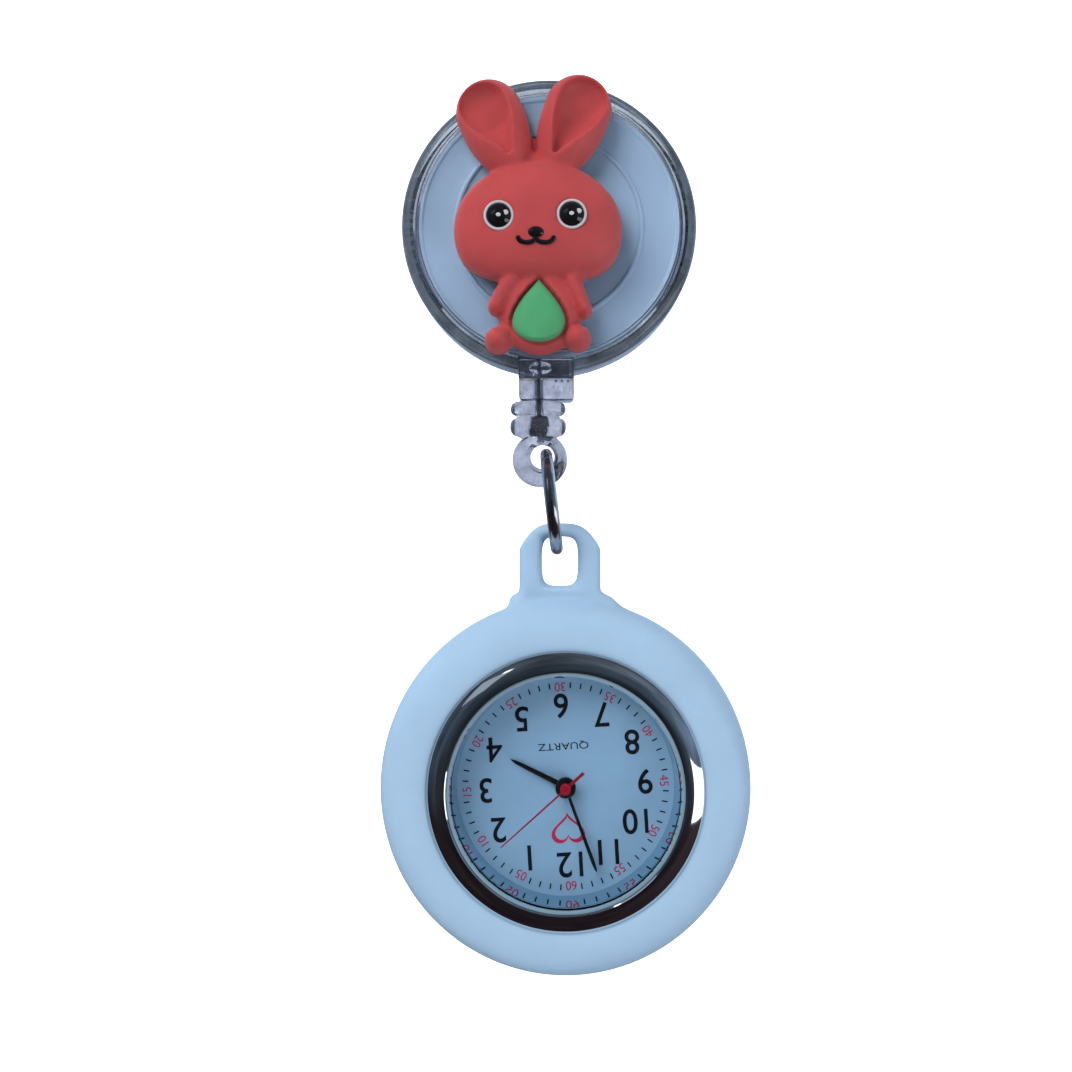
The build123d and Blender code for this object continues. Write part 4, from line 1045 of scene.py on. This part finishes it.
def makeRing(settings):
    centre = middle("link_ring")
    bm = bmesh.new()
    made = bmesh.ops.create_circle(bm, cap_ends=False, segments=28, radius=settings["wire"] * mm)
    # the wire's section stands at the ring's front and is spun round the ring's own axis
    bmesh.ops.translate(bm, verts=made["verts"], vec=(0, -settings["radius"] * mm, 0))
    edges, gap = list(bm.edges), radians(settings["gap"])
    turn(bm, made["verts"], gap / 2, "X")
    bmesh.ops.spin(bm, geom=made["verts"] + edges, cent=(0, 0, 0), axis=(1, 0, 0),
                   angle=2 * pi - gap, steps=160, use_merge=False)
    bmesh.ops.holes_fill(bm, edges=[e for e in bm.edges if e.is_boundary], sides=0)
    turn(bm, bm.verts, radians(settings["gapAngle"]), "X")
    turn(bm, bm.verts, radians(settings["lean"]), "Y")
    bmesh.ops.translate(bm, verts=bm.verts, vec=centre)
    faceOutwards(bm)
    addPiece("splitRing", bm, "darkSteel", "ring", ["link_ring"], 50)


cordSet = dict(radius=0.29, rings=90, twist=5)


def makeCord(settings):
    low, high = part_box("cord_lead")
    x, y = (low[0] + high[0]) / 2, (low[1] + high[1]) / 2
    rings = settings["rings"]
    bm = bmesh.new()
    made = bmesh.ops.create_circle(bm, cap_ends=True, segments=14, radius=settings["radius"] * mm)
    bmesh.ops.translate(bm, verts=made["verts"], vec=(x, y, low[2]))
    faces = list(bm.faces)
    for ring in range(rings):
        made = bmesh.ops.extrude_face_region(bm, geom=faces)
        if ring and faces[0].is_valid:
            bmesh.ops.delete(bm, geom=faces, context="FACES_ONLY")
        faces, verts = newFaces(made), newVerts(made)
        bmesh.ops.translate(bm, verts=verts, vec=(0, 0, (high[2] - low[2]) / rings))
        turn(bm, verts, radians(settings["twist"]), "Z", (x, y, 0))
    faceOutwards(bm)
    cord = placeMesh("pullCord", bm)
    cord.data.materials.append(materials["blackCord"])
    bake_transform(cord)
    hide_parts("cord_lead")


def makeKnot():
    random.seed(7)
    centre = middle("cord_knot")
    bm = bmesh.new()
    bmesh.ops.create_icosphere(bm, subdivisions=4, radius=0.93 * mm)
    for v in bm.verts:
        angle = atan2(v.co.z, v.co.x)
        wrap = sin(angle * 2 + v.co.y / mm * 5.5)
        v.co *= 1 + 0.075 * wrap + random.uniform(-0.012, 0.012)
    bmesh.ops.translate(bm, verts=bm.verts, vec=centre)
    addPiece("cordKnot", bm, "knotThread", "end_link", ["cord_knot"], 180)


makeRing(ringSet)
makeCord(cordSet)
makeKnot()
print("ring and cord made")


# finishes of the pieces whose shape stays as it is

nodeFinish = {
    "clipNickel": "clip_base_jaw clip_lever_jaw clip_pivot_pin swivel_washer swivel_rivet",
    "springSteel": "clip_spring return_spring movement_screws rotor winding_stem",
    "rearPlastic": "reel_rear_cover",
    "clearPlasticPaintedShade": "nozzle end_link",
    "blackCord": "cord_feed cord_winding",
    "paleGasket": "crystal_gasket",
    "dialBlue": "dial",
    "brushedSteel": "case_back train_bridge battery_strap battery stator quartz_can setting_lever",
    "blackRubber": "case_back_gasket",
    "movementPlastic": "movement_ring intermediate_wheel third_wheel second_wheel minute_wheel hour_wheel",
    "plateBrass": "main_plate centre_wheel",
    "coilCopper": "motor_coil",
    "boardGreen": "circuit_board",
    "blackResin": "watch_chip",
    "handBlack": "hour_hand minute_hand",
    "handRed": "second_hand",
    "polishedCase": "crown",
}
roundedCopy("clip_base_jaw", "clipBaseJaw", "clipNickel", "clip", 0.10)
roundedCopy("clip_lever_jaw", "clipLeverJaw", "clipNickel", "clip_lever", 0.10)


def makeCaseBack():
    # pressed steel back with two turned grooves and a rounded rim
    outline = [(0, -3.35), (14.5, -3.35), (14.6, -3.6), (14.45, -3.95), (14.1, -4.04), (13.2, -4.02),
               (13.1, -3.92), (12.9, -3.92), (12.8, -4.02), (9.2, -4.02), (9.1, -3.93), (8.95, -3.93),
               (8.85, -4.02), (0, -4.02)]
    bm = watchLathe(outline, 160, closed=False)
    addPiece("caseBack", bm, "brushedSteel", "watch", ["case_back"], 40)


def makeRivet():
    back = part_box("swivel_washer")[0][1] / mm
    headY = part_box("swivel_rivet")[1][1] / mm
    section = [(0, back - 1.5), (1.7, back - 1.5), (1.88, back - 1.35), (1.88, back - 0.92),
               (0.94, back - 0.92), (0.94, back + 0.03), (1.34, back + 0.03), (1.34, headY - 0.7), (2.58, headY - 0.7),
               (2.5, headY - 0.42), (2.1, headY - 0.14), (1.3, headY - 0.02), (0.5, headY), (0, headY)]
    bm = lathe(section, reelX, reelZ, 64, closed=False)
    addPiece("swivelRivet", bm, "clipNickel", "clip", ["swivel_rivet"], 40)


makeCaseBack()
makeRivet()
for finish, nodes in nodeFinish.items():
    for node in nodes.split():
        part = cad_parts[node]
        part.data.materials.clear()
        part.data.materials.append(materials[finish])
print("finishes given")
